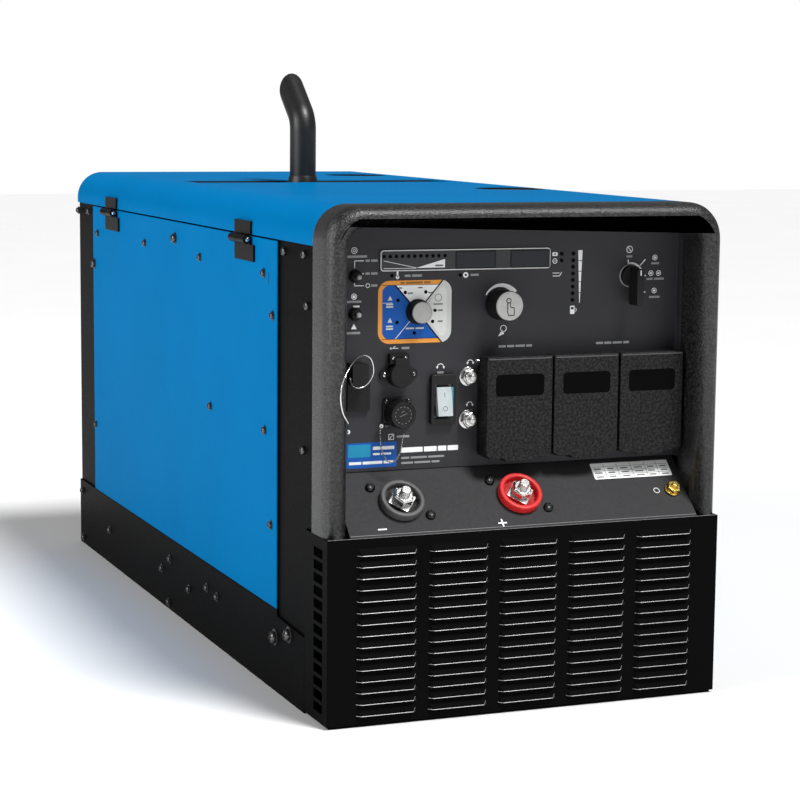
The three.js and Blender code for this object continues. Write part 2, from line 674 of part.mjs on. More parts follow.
// The belt runs round both pulleys in straight tangents.
function belt() {
  const dx = COMPRESSOR.x - CRANK.x;
  const dz = COMPRESSOR.z - CRANK.z;
  const between = Math.hypot(dx, dz);
  const along = Math.atan2(dz, dx);
  const loop = (grow) => {
    const small = CRANK.pulley + grow;
    const large = COMPRESSOR.pulley + grow;
    const tilt = Math.acos((large - small) / between);
    const path = new THREE.Path();
    path.absarc(COMPRESSOR.x, COMPRESSOR.z, large, along - Math.PI + tilt, along + Math.PI - tilt);
    path.absarc(CRANK.x, CRANK.z, small, along + Math.PI - tilt, along + Math.PI + tilt);
    return path.getPoints(8).slice(0, -1);
  };
  const band = new THREE.Shape(loop(9));
  band.holes.push(new THREE.Path(loop(1.5)));
  return prism(band, 'y', BELT_Y, BELT_Y + BELT_WIDTH);
}

function fuelTank() {
  const body = prism(roundedRect(-70, 235, 372, 522, 24), 'y', 150, 520, 4);
  return join(body, rod('z', FUEL.x, FUEL.y, 23, 500, 592, 20));
}

function fuelCap() {
  return rod('z', FUEL.x, FUEL.y, 33, 592.3, 602, 24);
}

function battery() {
  return join(
    box(-238, -98, 200, 440, 4, 190),
    rod('z', -215, 230, 8, 189, 204, 12),
    rod('z', -215, 410, 8, 189, 204, 12),
  );
}

// ---- assembly -----------------------------------------------------------------------------
add('base_tray', baseTray(), 'black');
add('front_grille', frontGrille(), 'black');
add('rear_panel', rearPanel(), 'black');
add('front_bezel', frontBezel(), 'bezel');
add('control_panel', controlPanel(), 'panel');
add('output_panel', outputPanel(), 'panel');
add('top_cover', topCover(), 'blue');

const SIDES = { left: (geometry) => geometry, right: mirrored };
for (const [side, place] of Object.entries(SIDES)) {
  add(`${side}_skirt`, place(skirt()), 'black');
  add(`${side}_front_post`, place(post()), 'black');
  add(`${side}_side_door`, place(sideDoor()), 'blue');
  HINGE_Y.forEach((y, i) => {
    const where = i === 0 ? 'front' : 'rear';
    add(`${side}_${where}_hinge_lid_leaf`, place(hingeOnLid(y)), 'black');
    add(`${side}_${where}_hinge_door_leaf`, place(hingeOnDoor(y)), 'black');
  });
}

const SELECT_PROFILE = [[0, 0], [15, 0], [15, 3], [13.4, 5], [13, 15.2], [12.3, 16], [0, 16]];
const ADJUST_PROFILE = [[0, 0], [18.8, 0], [18.8, 4], [18.1, 6], [17.9, 28.8], [17.1, 30], [0, 30]];
add('process_knob', knobAt(SELECT.x, SELECT.z, SELECT_PROFILE), 'knob');
add('adjust_knob', knobAt(ADJUST.x, ADJUST.z, ADJUST_PROFILE), 'knob');
add('engine_switch', engineSwitch(), 'plastic');
for (const [name, place] of Object.entries(TOGGLES)) add(name, toggleLever(place), 'plastic');
add('display_window', box(-166, 53, FACE - 1.2, FACE, 524, 549), 'display');
add('breaker_frame', breakerFrame(), 'plastic');
add('breaker_rocker', breakerRocker(), 'white');
for (const [name, z] of Object.entries(RESETS)) add(name, resetButton(z), 'zinc');
add('utility_socket', utilitySocket(), 'plastic');
add('utility_socket_cover', socketCover(), 'plastic');
add('remote_receptacle', remoteReceptacle(), 'plastic');
add('remote_cap', remoteCap(), 'plastic');
add('aux_socket', auxSocket(), 'plastic');
add('lanyard_wire', cordTube(LANYARD, 0.8, 44), 'zinc');
add('bead_chain', cordTube(CHAIN, 1.1, 24), 'zinc');

['left', 'middle', 'right'].forEach((where, i) => {
  add(`${where}_receptacle_cover`, receptacleCover(COVER_CENTRES[i]), 'plastic');
  add(`${where}_receptacle`, outlet(COVER_CENTRES[i]), 'plastic');
});

add('negative_insulator', insulator(-150.5), 'rubber');
add('positive_insulator', insulator(1), 'red');
add('negative_stud', weldStud(-150.5), 'zinc');
add('positive_stud', weldStud(1), 'zinc');
add('ground_stud', groundStud(), 'brass');

add('exhaust_pipe', exhaustPipe(), 'exhaust');
add('muffler', muffler(), 'exhaust');
add('engine_block', engineBlock(), 'aluminium');
add('stator', stator(), 'castIron');
add('crankshaft', crankshaft(), 'castIron');
add('compressor', compressor(), 'castIron');
add('compressor_pulley', compressorPulley(), 'castIron');
add('drive_belt', belt(), 'rubber');
add('fuel_tank', fuelTank(), 'tank');
add('fuel_cap', fuelCap(), 'plastic');
add('battery', battery(), 'tank');

const part = new THREE.Group();
part.add(machine);
export default part;
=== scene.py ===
"""Engine driven welder with a recessed control panel, louvred panels and a bent exhaust pipe.

Pieces are drawn in machine millimetres, x to the right seen from the front, y rearward from the
grille's front plane, z up from the floor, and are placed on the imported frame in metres.
"""
import json
import math

import bmesh
import bpy
from mathutils import Matrix, Vector


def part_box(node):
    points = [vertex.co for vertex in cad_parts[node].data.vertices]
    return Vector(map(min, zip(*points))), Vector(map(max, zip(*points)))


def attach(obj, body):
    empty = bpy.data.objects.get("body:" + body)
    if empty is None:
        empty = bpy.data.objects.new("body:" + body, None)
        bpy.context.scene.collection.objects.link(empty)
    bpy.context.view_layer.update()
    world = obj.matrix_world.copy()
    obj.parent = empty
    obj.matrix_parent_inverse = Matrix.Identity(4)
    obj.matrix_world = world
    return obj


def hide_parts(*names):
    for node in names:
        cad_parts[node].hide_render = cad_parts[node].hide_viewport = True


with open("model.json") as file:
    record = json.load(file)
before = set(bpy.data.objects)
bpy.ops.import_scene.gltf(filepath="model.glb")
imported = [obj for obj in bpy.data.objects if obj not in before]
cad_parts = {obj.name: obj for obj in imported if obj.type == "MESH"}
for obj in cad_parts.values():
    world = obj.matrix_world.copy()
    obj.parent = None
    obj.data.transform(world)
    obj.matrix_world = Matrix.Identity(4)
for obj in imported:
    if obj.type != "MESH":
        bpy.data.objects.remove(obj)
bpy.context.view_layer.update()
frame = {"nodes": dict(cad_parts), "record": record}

# ---- driving sizes, in millimetres ----
MM = 0.001
HALF_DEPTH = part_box("left_skirt")[1][1] / MM      # machine y = 0 lies this far ahead of the origin
TO_FRAME = Matrix.Scale(MM, 4) @ Matrix.Translation((0, -HALF_DEPTH, 0))
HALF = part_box("left_skirt")[0][0] / -MM            # half the width across the side panels
TOP_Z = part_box("top_cover")[1][2] / MM
PANEL_Y = 68                                       # front face of the control panel
GRILLE_TOP = 223
PANEL_BOTTOM = 288
SLOPE = math.atan2(PANEL_BOTTOM - GRILLE_TOP, PANEL_Y)
KNOB_Y = PANEL_Y - 0.3                             # knobs stand just clear of the panel

# Places on the control panel, as x and z.
PROCESS_KNOB = (-118, 476)
ADJUST_KNOB = (-12.3, 482.4)
ENGINE_SWITCH = (161, 513)
TOGGLES = {"compressor_toggle": (-197, 519), "charge_toggle": (-197, 475)}
RESETS = ((-52.3, 397), (-52.3, 345.5))
UTILITY_SOCKET = (-142.5, 403)
REMOTE_CAP = (-144, 357)
COVER_X = {"left": 2.5, "middle": 90.8, "right": 179.1}

# Places seen from above, as x and y.
FUEL_WELL = (173, 448)
REAR_WELL = (155, 1007)
PIPE_X = -28


def node_box(node):
    """Lowest and highest corner of a CAD node, in machine millimetres."""
    low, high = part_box(node)
    shift = Vector((0, HALF_DEPTH, 0))
    return Vector(low) / MM + shift, Vector(high) / MM + shift


# ---- local frames: u to the right, v up, h out of the surface ----
def axes(x_axis, y_axis, origin):
    u, v = Vector(x_axis), Vector(y_axis)
    turn = Matrix((u, v, u.cross(v))).transposed().to_4x4()
    return Matrix.Translation(origin) @ turn


def facing_front(x=0, y=PANEL_Y, z=0):
    return axes((1, 0, 0), (0, 0, 1), (x, y, z))


def on_panel(place, y=PANEL_Y):
    """At an x and z on the control panel, or on a plane parallel to it."""
    return facing_front(place[0], y, place[1])


def facing_side(side, x, y, z):
    """side is -1 for the left of the machine and 1 for its right; x is measured outwards."""
    return axes((0, side, 0), (0, 0, 1), (side * x, y, z))


def facing_up(x, y, z):
    return axes((1, 0, 0), (0, 1, 0), (x, y, z))


def on_slope(x, y):
    """On the sloping output panel, v running up the slope."""
    z = GRILLE_TOP + y * math.tan(SLOPE)
    return axes((1, 0, 0), (0, math.cos(SLOPE), math.sin(SLOPE)), (x, y, z))


# ---- outlines ----
def rect(u0, u1, v0, v1):
    return [(u0, v0), (u1, v0), (u1, v1), (u0, v1)]


def arc(u, v, r, start, end, steps=8):
    angles = [math.radians(start + (end - start) * i / steps) for i in range(steps + 1)]
    return [(u + r * math.cos(a), v + r * math.sin(a)) for a in angles]


def rounded(u0, u1, v0, v1, r, steps=6):
    return (arc(u1 - r, v0 + r, r, -90, 0, steps) + arc(u1 - r, v1 - r, r, 0, 90, steps)
            + arc(u0 + r, v1 - r, r, 90, 180, steps) + arc(u0 + r, v0 + r, r, 180, 270, steps))


def disc(u, v, r, steps=24):
    return arc(u, v, r, 0, 360, steps)[:-1]


def band(u, v, r0, r1, start=0, end=360, steps=24):
    return arc(u, v, r1, start, end, steps) + arc(u, v, r0, end, start, steps)


def line(u0, v0, u1, v1, w):
    length = math.hypot(u1 - u0, v1 - v0)
    du = -(v1 - v0) / length * w / 2
    dv = (u1 - u0) / length * w / 2
    return [(u0 - du, v0 - dv), (u1 - du, v1 - dv), (u1 + du, v1 + dv), (u0 + du, v0 + dv)]


def border(outer, inner):
    """The four-cornered pieces of a closed line between two outlines."""
    return list(zip(outer, outer[1:] + outer[:1], inner[1:] + inner[:1], inner))


# ---- materials ----
class Shader:
    """A small builder for a procedural material on one Principled shader."""

    def __init__(self, name, roughness=0.5, metallic=0.0, shine=0.5):
        self.material = bpy.data.materials.new(name)
        self.material.use_nodes = True
        self.nodes = self.material.node_tree.nodes
        self.links = self.material.node_tree.links
        self.inputs = self.nodes["Principled BSDF"].inputs
        self.inputs["Roughness"].default_value = roughness
        self.inputs["Metallic"].default_value = metallic
        self.inputs["Specular IOR Level"].default_value = shine
        self.place = self.nodes.new("ShaderNodeTexCoord").outputs["Object"]
        self.normal = None

    def node(self, kind, result, values, links):
        """Adds a node with its input values and incoming links, and gives one output."""
        node = self.nodes.new(kind)
        for name, value in values.items():
            node.inputs[name].default_value = value
        for name, source in links.items():
            self.links.new(source, node.inputs[name])
        return node.outputs[result]

    def noise(self, scale, detail=3.0, roughness=0.55, stretch=None):
        place = self.place
        if stretch:
            place = self.node("ShaderNodeMapping", "Vector", {"Scale": stretch}, {"Vector": place})
        values = {"Scale": scale, "Detail": detail, "Roughness": roughness}
        return self.node("ShaderNodeTexNoise", "Fac", values, {"Vector": place})

    def cells(self, scale):
        texture = self.nodes.new("ShaderNodeTexVoronoi")
        texture.feature = "SMOOTH_F1"
        texture.inputs["Scale"].default_value = scale
        texture.inputs["Smoothness"].default_value = 0.6
        self.links.new(self.place, texture.inputs["Vector"])
        return texture.outputs["Distance"]

    def colour(self, value, low, dark, high, light):
        """The base colour: dark where value is under low, light where it is over high."""
        node = self.nodes.new("ShaderNodeValToRGB")
        for element, position, shade in zip(node.color_ramp.elements, (low, high), (dark, light)):
            element.position = position
            element.color = (*shade, 1)
        self.links.new(value, node.inputs["Fac"])
        self.links.new(node.outputs["Color"], self.inputs["Base Color"])

    def base(self, colour, vary, scale):
        """The base colour, with a slow drift in brightness."""
        dark = [c * (1 - vary) for c in colour]
        light = [min(1, c * (1 + vary)) for c in colour]
        self.colour(self.noise(scale), 0.3, dark, 0.7, light)

    def rough(self, value, start, end):
        values = {"From Min": 0.3, "From Max": 0.7, "To Min": start, "To Max": end}
        spread = self.node("ShaderNodeMapRange", "Result", values, {"Value": value})
        self.links.new(spread, self.inputs["Roughness"])

    def bump(self, value, strength, distance):
        """Adds relief of a height in metres on top of any relief so far."""
        links = {"Height": value}
        if self.normal is not None:
            links["Normal"] = self.normal
        values = {"Strength": strength, "Distance": distance}
        self.normal = self.node("ShaderNodeBump", "Normal", values, links)
        self.links.new(self.normal, self.inputs["Normal"])


def powder_coat(name, colour, low=0.3, high=0.42, peel=0.12, shine=0.16):
    """Sprayed and baked paint: slight orange peel and fine grain."""
    s = Shader(name, shine=shine)
    s.base(colour, 0.04, 6)
    s.rough(s.noise(260), low, high)
    s.bump(s.noise(420, 2), peel, 0.0004)
    s.bump(s.noise(2600, 1), peel * 0.6, 0.00005)
    return s.material


def pebbled(name, colour, size, depth, low, high, shine, vary):
    """Moulded plastic with a leathery grain; size and depth of the pebbles are in metres."""
    s = Shader(name, shine=shine)
    dark = [c * (1 - vary) for c in colour]
    light = [c * (1 + 3 * vary) for c in colour]
    s.colour(s.noise(0.5 / size, 2), 0.42, dark, 0.64, light)
    s.rough(s.noise(1 / size), low, high)
    s.bump(s.cells(0.8 / size), 0.55, depth)
    s.bump(s.noise(1.6 / size, 2), 0.5, depth * 0.7)
    return s.material


def moulded(name, colour, low=0.35, high=0.5, grain=0.15, shine=0.3):
    """Plain satin plastic with a faint spark-eroded grain."""
    s = Shader(name, shine=shine)
    s.base(colour, 0.08, 90)
    s.rough(s.noise(700), low, high)
    s.bump(s.noise(1800, 2), grain, 0.00008)
    return s.material


def metal(name, colour, low=0.2, high=0.35, brushed=None, dent=0.1):
    """Bare or plated metal; brushed stretches its grain along each axis."""
    s = Shader(name, metallic=1.0)
    s.base(colour, 0.1, 220)
    s.rough(s.noise(500, 4, 0.6, brushed), low, high)
    s.bump(s.noise(900, 3, 0.6, brushed), dent, 0.00012)
    return s.material


def cast(name, colour, metallic=0.8, low=0.5, high=0.75):
    """Sand-cast metal: rough, mottled and pitted."""
    s = Shader(name, metallic=metallic)
    s.base(colour, 0.2, 60)
    s.rough(s.noise(120), low, high)
    s.bump(s.noise(260, 6, 0.7), 0.5, 0.0008)
    return s.material


def heat_black(name):
    """High-temperature black with a faint brownish bloom."""
    s = Shader(name)
    s.colour(s.noise(18, 5), 0.35, (0.010, 0.010, 0.011), 0.75, (0.024, 0.021, 0.020))
    s.rough(s.noise(90, 5), 0.32, 0.55)
    s.bump(s.noise(1200, 3), 0.35, 0.00012)
    return s.material


def printed_ink(name, colour, rough=0.5, shine=0.15):
    s = Shader(name, roughness=rough, shine=shine)
    s.base(colour, 0.03, 900)
    s.rough(s.noise(1500), rough - 0.06, rough + 0.06)
    return s.material


# Painted sheet, then plastics, metals, inks and the lit edges of mouldings.
BLUE = powder_coat("blue_powder_coat", (0.0003, 0.158, 0.400), 0.34, 0.46, 0.10, shine=0.002)
BLACK = powder_coat("black_powder_coat", (0.0038, 0.0038, 0.0038), 0.30, 0.42, 0.14, shine=0.006)
HINGE = powder_coat("hinge_black", (0.008, 0.0075, 0.008), 0.28, 0.4, 0.1, shine=0.02)
BEZEL = pebbled("bezel_pebble", (0.0085, 0.0085, 0.0088), 0.0014, 0.0007, 0.28, 0.5, 0.6, 0.9)
COVER = pebbled("cover_pebble", (0.0052, 0.0052, 0.0054), 0.0016, 0.0006, 0.4, 0.7, 0.25, 0.9)
LOWER_PANEL = powder_coat("lower_panel_grey", (0.024, 0.024, 0.026), 0.45, 0.58, 0.18)
PANEL = powder_coat("panel_grey", (0.040, 0.040, 0.045), 0.45, 0.58, 0.18)
PLASTIC = moulded("black_plastic", (0.0085, 0.0085, 0.009), 0.3, 0.45)
SOFT = moulded("black_rubber", (0.006, 0.006, 0.0063), 0.5, 0.7, 0.3)
GLASS = moulded("display_window", (0.012, 0.016, 0.021), 0.10, 0.16, 0.02)
BAR = moulded("display_bar", (0.046, 0.047, 0.050), 0.35, 0.45, 0.1)
CAP = moulded("silver_cap", (0.33, 0.33, 0.325), 0.3, 0.42, 0.05, 0.5)
ZINC = metal("zinc_plate", (0.66, 0.66, 0.65), 0.14, 0.3, (1, 1, 6), 0.25)
STEEL = metal("stainless_wire", (0.75, 0.75, 0.74), 0.12, 0.24)
BRASS = metal("brass", (0.75, 0.53, 0.14), 0.14, 0.26)
ROCKER = moulded("rocker_white", (0.50, 0.55, 0.56), 0.14, 0.24, 0.03)
RED = moulded("red_insulator", (0.62, 0.022, 0.022), 0.24, 0.36, 0.08)
GREY = moulded("grey_insulator", (0.085, 0.085, 0.086), 0.28, 0.4, 0.08)
HEAT = heat_black("exhaust_black")
ALUMINIUM = cast("cast_aluminium", (0.42, 0.43, 0.44), 0.9, 0.4, 0.6)
IRON = cast("cast_iron", (0.09, 0.095, 0.10), 0.7)
BELT = moulded("belt_rubber", (0.012, 0.012, 0.012), 0.6, 0.8, 0.5)
TANK = moulded("tank_plastic", (0.014, 0.015, 0.016), 0.45, 0.6, 0.4)
WHITE = printed_ink("white_ink", (0.90, 0.91, 0.91))
PALE = printed_ink("pale_ink", (0.62, 0.64, 0.62))
ORANGE = printed_ink("orange_ink", (0.83, 0.34, 0.07))
INK_BLUE = printed_ink("blue_ink", (0.012, 0.10, 0.42))
DARK = printed_ink("dark_lens", (0.0015, 0.0015, 0.002), 0.5, 0.04)
SILVER_INK = printed_ink("silver_ink", (0.72, 0.73, 0.72))
BROWN_INK = printed_ink("brown_ink", (0.30, 0.14, 0.04))
SMOKE_INK = printed_ink("smoke_ink", (0.16, 0.16, 0.16))
TEAL_INK = printed_ink("teal_ink", (0.02, 0.27, 0.46))
LIT_BLUE = powder_coat("lit_blue_edge", (0.20, 0.45, 0.66), 0.3, 0.4, 0.1, shine=0.5)
BEAD = metal("bead_chain", (0.32, 0.31, 0.30), 0.22, 0.34)
DULL = metal("black_zinc", (0.12, 0.115, 0.11), 0.22, 0.38, None, 0.3)
SATIN = metal("black_screw", (0.05, 0.05, 0.052), 0.3, 0.42, None, 0.2)
# Painted highlight for the louvres' creases and the output panel's front fold.
EDGE_HIGHLIGHT = powder_coat("lit_edge", (0.17, 0.175, 0.18), 0.25, 0.4, 0.1, shine=0.5)
TEXT = printed_ink("caption_ink", (0.30, 0.31, 0.31))
# Painted highlight: a bright metal for the louvres' lips and the grille's top edge.
LIP_HIGHLIGHT = metal("painted_lip_highlight", (0.42, 0.42, 0.42), 0.3, 0.45)
PIPE_BLACK = powder_coat("pipe_black", (0.0065, 0.0065, 0.0068), 0.34, 0.46, 0.08, shine=0.5)
COVER_EDGE = powder_coat("cover_lit_edge", (0.075, 0.077, 0.08), 0.4, 0.5, 0.3, shine=0.3)
DARKER = moulded("black_trim", (0.003, 0.003, 0.0035), 0.4, 0.55)
TEAL = moulded("teal_plastic", (0.03, 0.36, 0.47), 0.12, 0.22, 0.03, shine=0.5)
BUTTON = metal("button_grey", (0.56, 0.56, 0.55), 0.2, 0.34, None, 0.1)
BOOT = moulded("boot_rim", (0.42, 0.62, 0.66), 0.1, 0.2, 0.03, shine=0.5)
GLOSS = moulded("label_window", (0.0022, 0.002, 0.002), 0.3, 0.4, 0.04, shine=0.03)


# ---- piece building ----
def put(name, data):
    """Adds an object made of the data to the scene."""
    item = bpy.data.objects.new(name, data)
    bpy.context.scene.collection.objects.link(item)
    return item


def ribbed(count, depth, least, low, high, crest=0):
    """Grooves for a lathe: radii above least, between two heights, are cut by depth."""
    def wave(a, r, h):
        cut = math.sin(count * a) > crest and r > least and low < h < high
        return r - (depth if cut else 0)
    return wave


def ring_of(r, h, sides, turn=0.0):
    """Points evenly spaced on a circle about h, the first at an angle of turn."""
    angles = [2 * math.pi * i / sides + turn for i in range(sides)]
    return [(r * math.cos(a), r * math.sin(a), h) for a in angles]


class Piece:
    """One visible piece, drawn in machine millimetres in any number of solids."""

    def __init__(self, name, material, body="chassis", slot=None):
        self.name = name
        self.material = material
        self.body = body
        self.slot = slot
        self.bm = bmesh.new()

    def faces(self, place, rings, cap=True):
        """Skins a stack of rings of points; each ring has the same number of points."""
        loops = [[self.bm.verts.new(place @ Vector(p)) for p in ring] for ring in rings]
        count = len(loops[0])
        for low, high in zip(loops, loops[1:]):
            for i in range(count):
                j = (i + 1) % count
                self.bm.faces.new((low[i], low[j], high[j], high[i]))
        if cap:
            self.bm.faces.new(reversed(loops[0]))
            self.bm.faces.new(loops[-1])
        return self

    def prism(self, place, outline, low, high):
        return self.faces(place, [[(u, v, h) for u, v in outline] for h in (low, high)])

    def box(self, place, u0, u1, v0, v1, low, high):
        return self.prism(place, rect(u0, u1, v0, v1), low, high)

    def lathe(self, place, profile, sides=40, wave=None):
        """Turns (radius, height) points about h; wave(angle, radius, height) adjusts a radius."""
        rings = []
        for r, h in profile:
            ring = ring_of(max(r, 0.02), h, sides)
            if wave:
                angles = [2 * math.pi * i / sides for i in range(sides)]
                radii = [wave(a, max(r, 0.02), h) for a in angles]
                ring = [(k * math.cos(a), k * math.sin(a), h) for k, a in zip(radii, angles)]
            rings.append(ring)
        return self.faces(place, rings)

    def tube(self, place, r0, r1, low, high, sides=40):
        """A round sleeve, open through its middle."""
        corners = [(r1, low), (r1, high), (r0, high), (r0, low), (r1, low)]
        self.faces(place, [ring_of(r, h, sides) for r, h in corners], cap=False)
        bmesh.ops.remove_doubles(self.bm, verts=self.bm.verts, dist=1e-5)
        return self

    def hexagon(self, place, r, low, high, chamfer=0.8, turn=0):
        """A hex head or nut whose outer corners are chamfered; turn is in degrees."""
        shape = ((r, low), (r, high - chamfer), (r - chamfer, high))
        turn = math.radians(turn)
        return self.faces(place, [ring_of(radius, h, 6, turn) for radius, h in shape])

    def done(self, bevel=0.0, angle=35, replaces=(), steps=2, scaled=True):
        """Makes the object; scaled is off where the points are in metres in the frame."""
        if scaled:
            self.bm.transform(TO_FRAME)
        bmesh.ops.recalc_face_normals(self.bm, faces=self.bm.faces)
        mesh = bpy.data.meshes.new(self.name)
        self.bm.to_mesh(mesh)
        self.bm.free()
        mesh.materials.append(self.material)
        mesh.polygons.foreach_set("use_smooth", [True] * len(mesh.polygons))
        mesh.set_sharp_from_angle(angle=math.radians(angle))
        piece = put(self.name, mesh)
        if bevel:
            soften = piece.modifiers.new("edges", "BEVEL")
            soften.width = bevel * MM
            soften.segments = steps
            soften.limit_method = "ANGLE"
            soften.angle_limit = math.radians(angle)
            soften.harden_normals = True
            soften.use_clamp_overlap = True
        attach(piece, self.body)
        if replaces:
            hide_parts(*replaces)
        return piece


def body_of_node(node):
    return next(body for body, nodes in frame["record"]["behaviour"]["bodies"].items()
                if node in nodes)


def slot_of_node(node):
    return next(entry["material_slot"] for entry in frame["record"]["subparts"]
                if entry["node"] == node)


def refined(node, material, bevel=0.6, angle=35, steps=2):
    """A cleaned copy of a CAD node, with flat facets merged and its sharp edges rounded."""
    piece = Piece(f"{node}_finished", material, body_of_node(node), slot_of_node(node))
    piece.bm.from_mesh(frame["nodes"][node].data)
    bmesh.ops.remove_doubles(piece.bm, verts=piece.bm.verts, dist=2e-6)
    bmesh.ops.dissolve_limit(piece.bm, angle_limit=math.radians(0.6), verts=piece.bm.verts,
                             edges=piece.bm.edges)
    return piece.done(bevel, angle, (node,), steps, scaled=False)


# ---- camera, floor and light ----
CAMERA_PLACE = (-1.1021, -2.3406, 0.7188)          # metres, in the machine's axes
CAMERA_TURN = (0.3803, 0.1329, 0.0096)             # yaw, downward pitch and roll, in radians


def camera():
    """A long lens off the machine's front left corner, a little above its top."""
    yaw, pitch, roll = CAMERA_TURN
    data = bpy.data.cameras.new("camera")
    data.lens = 99.92
    data.sensor_width = 36
    data.clip_end = 50
    item = put("camera", data)
    aim = Vector((math.sin(yaw) * math.cos(pitch), math.cos(yaw) * math.cos(pitch),
                  -math.sin(pitch)))
    level = Vector((math.cos(yaw), -math.sin(yaw), 0))
    rise = level.cross(aim)
    across = level * math.cos(roll) + rise * math.sin(roll)
    above = rise * math.cos(roll) - level * math.sin(roll)
    turn = Matrix((across, above, -aim)).transposed().to_4x4()
    x, y, z = CAMERA_PLACE
    item.matrix_world = Matrix.Translation((x, y - HALF_DEPTH * MM, z)) @ turn
    bpy.context.scene.camera = item


def softbox(name, place, aim, size, power):
    data = bpy.data.lights.new(name, "AREA")
    data.shape = "RECTANGLE"
    data.size, data.size_y = size
    data.energy = power
    item = put(name, data)
    item.location = place
    item.rotation_euler = (Vector(aim) - Vector(place)).to_track_quat("-Z", "Y").to_euler()


def studio():
    """A pale floor under a high sun, with a wash on the left side and one on the front."""
    bm = bmesh.new()
    bmesh.ops.create_grid(bm, x_segments=1, y_segments=1, size=14)
    mesh = bpy.data.meshes.new("floor")
    bm.to_mesh(mesh)
    bm.free()
    s = Shader("floor_white", roughness=0.6)
    s.base((0.93, 0.93, 0.93), 0.01, 2)
    mesh.materials.append(s.material)
    floor = put("floor", mesh)
    backdrop(0.2)
    bpy.context.scene.view_settings.view_transform = "Standard"
    sunlight("key", (1.1, -1.9, 3.6), 3.4, 18)
    softbox("left_wash", (-4.4, -0.6, 2.0), (0, 0.1, 0.3), (2.8, 2.0), 125)
    softbox("front_wash", (1.6, -4.6, 3.0), (0, -0.6, 0.3), (2.4, 1.6), 26)


def sunlight(name, towards, power, spread):
    """Even light from far away, softened by its spread in degrees."""
    data = bpy.data.lights.new(name, "SUN")
    data.energy = power
    data.angle = math.radians(spread)
    item = put(name, data)
    item.rotation_euler = Vector(towards).to_track_quat("Z", "Y").to_euler()


def backdrop(glow):
    """White where the camera sees it; its light on the machine is dimmed to glow."""
    world = bpy.data.worlds.new("studio")
    world.use_nodes = True
    nodes = world.node_tree.nodes
    links = world.node_tree.links
    mix = nodes.new("ShaderNodeMixShader")
    path = nodes.new("ShaderNodeLightPath")
    links.new(path.outputs["Is Camera Ray"], mix.inputs["Fac"])
    shades = ((1, nodes["Background"], glow), (2, nodes.new("ShaderNodeBackground"), 1))
    for slot, shade, strength in shades:
        shade.inputs["Color"].default_value = (1, 1, 1, 1)
        shade.inputs["Strength"].default_value = strength
        links.new(shade.outputs["Background"], mix.inputs[slot])
    links.new(mix.outputs["Shader"], nodes["World Output"].inputs["Surface"])
    bpy.context.scene.world = world


# ---- cords ----
LANYARD = [
    (-207, 60, 338), (-213, 46, 339), (-220, 31, 343), (-223.5, 18, 348), (-228, 3, 356),
    (-237, -3, 370), (-241, -6, 388), (-238, -5, 405), (-227, 4, 420), (-215, 14, 429),
    (-203, 22, 432), (-193, 27, 428), (-188, 30, 418), (-188, 31, 408), (-193, 32, 399),
    (-200, 32, 394), (-209, 30, 394), (-217, 23, 399), (-222, 15, 407),
]
CHAIN = [
    (-165, 61, 343), (-168, 58.5, 337), (-168, 57, 328), (-168, 54, 318), (-165, 51, 308),
    (-160, 49, 302), (-154, 46, 303), (-150, 43, 310), (-148, 41, 319), (-147, 40, 328),
    (-145.5, 40, 335),
]
BEAD_PITCH = 0.0031                                # metres


def smooth_route(points, per_step=6):
    """Points along a smooth curve through the route, in metres in the frame."""
    knots = [TO_FRAME @ Vector(p) for p in points]
    first = knots[0] * 2 - knots[1]
    last = knots[-1] * 2 - knots[-2]
    chain = [first, *knots, last]
    out = []
    for a, b, c, d in zip(chain, chain[1:], chain[2:], chain[3:]):
        for i in range(per_step):
            t = i / per_step
            out.append(0.5 * ((2 * b) + (c - a) * t + (2 * a - 5 * b + 4 * c - d) * t * t
                              + (3 * b - a - 3 * c + d) * t ** 3))
    return [*out, knots[-1]]


def route_length(points):
    return sum((b - a).length for a, b in zip(points, points[1:]))


def lanyard():
    """A stiff wire loop from its anchor to the clip on the auxiliary plug."""
    route = smooth_route(LANYARD)
    curve = bpy.data.curves.new("lanyard", "CURVE")
    curve.dimensions = "3D"
    spline = curve.splines.new("POLY")
    spline.points.add(len(route) - 1)
    for point, place in zip(spline.points, route):
        point.co = (*place, 1)
    curve.bevel_depth = 0.0008
    curve.bevel_resolution = 3
    curve.use_fill_caps = True
    curve.materials.append(STEEL)
    piece = put("lanyard", curve)
    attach(piece, "chassis")
    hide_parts("lanyard_wire")
    tuple(route[0])
    route_length(route)


def bead_chain():
    """Beads on short links, strung along the route."""
    route = smooth_route(CHAIN)
    length = route_length(route)
    piece = Piece("bead_chain_beads", BEAD, slot="zinc")
    count = int(length / BEAD_PITCH)
    travelled = 0.0
    bead = 0
    for a, b in zip(route, route[1:]):
        step = (b - a).length
        while bead <= count and travelled + step >= bead * length / count:
            spot = a.lerp(b, (bead * length / count - travelled) / step)
            bmesh.ops.create_icosphere(piece.bm, subdivisions=2, radius=0.0011,
                                       matrix=Matrix.Translation(spot))
            bead += 1
        way = (b - a).to_track_quat("Z", "Y").to_matrix().to_4x4()
        link = Matrix.Translation((a + b) / 2) @ way
        bmesh.ops.create_cone(piece.bm, cap_ends=True, segments=8, radius1=0.0004, radius2=0.0004,
                              depth=step * 1.02, matrix=link)
        travelled += step
    made = piece.done(replaces=("bead_chain",), scaled=False)
    tuple(route[0])
    [tuple(p) for p in route]


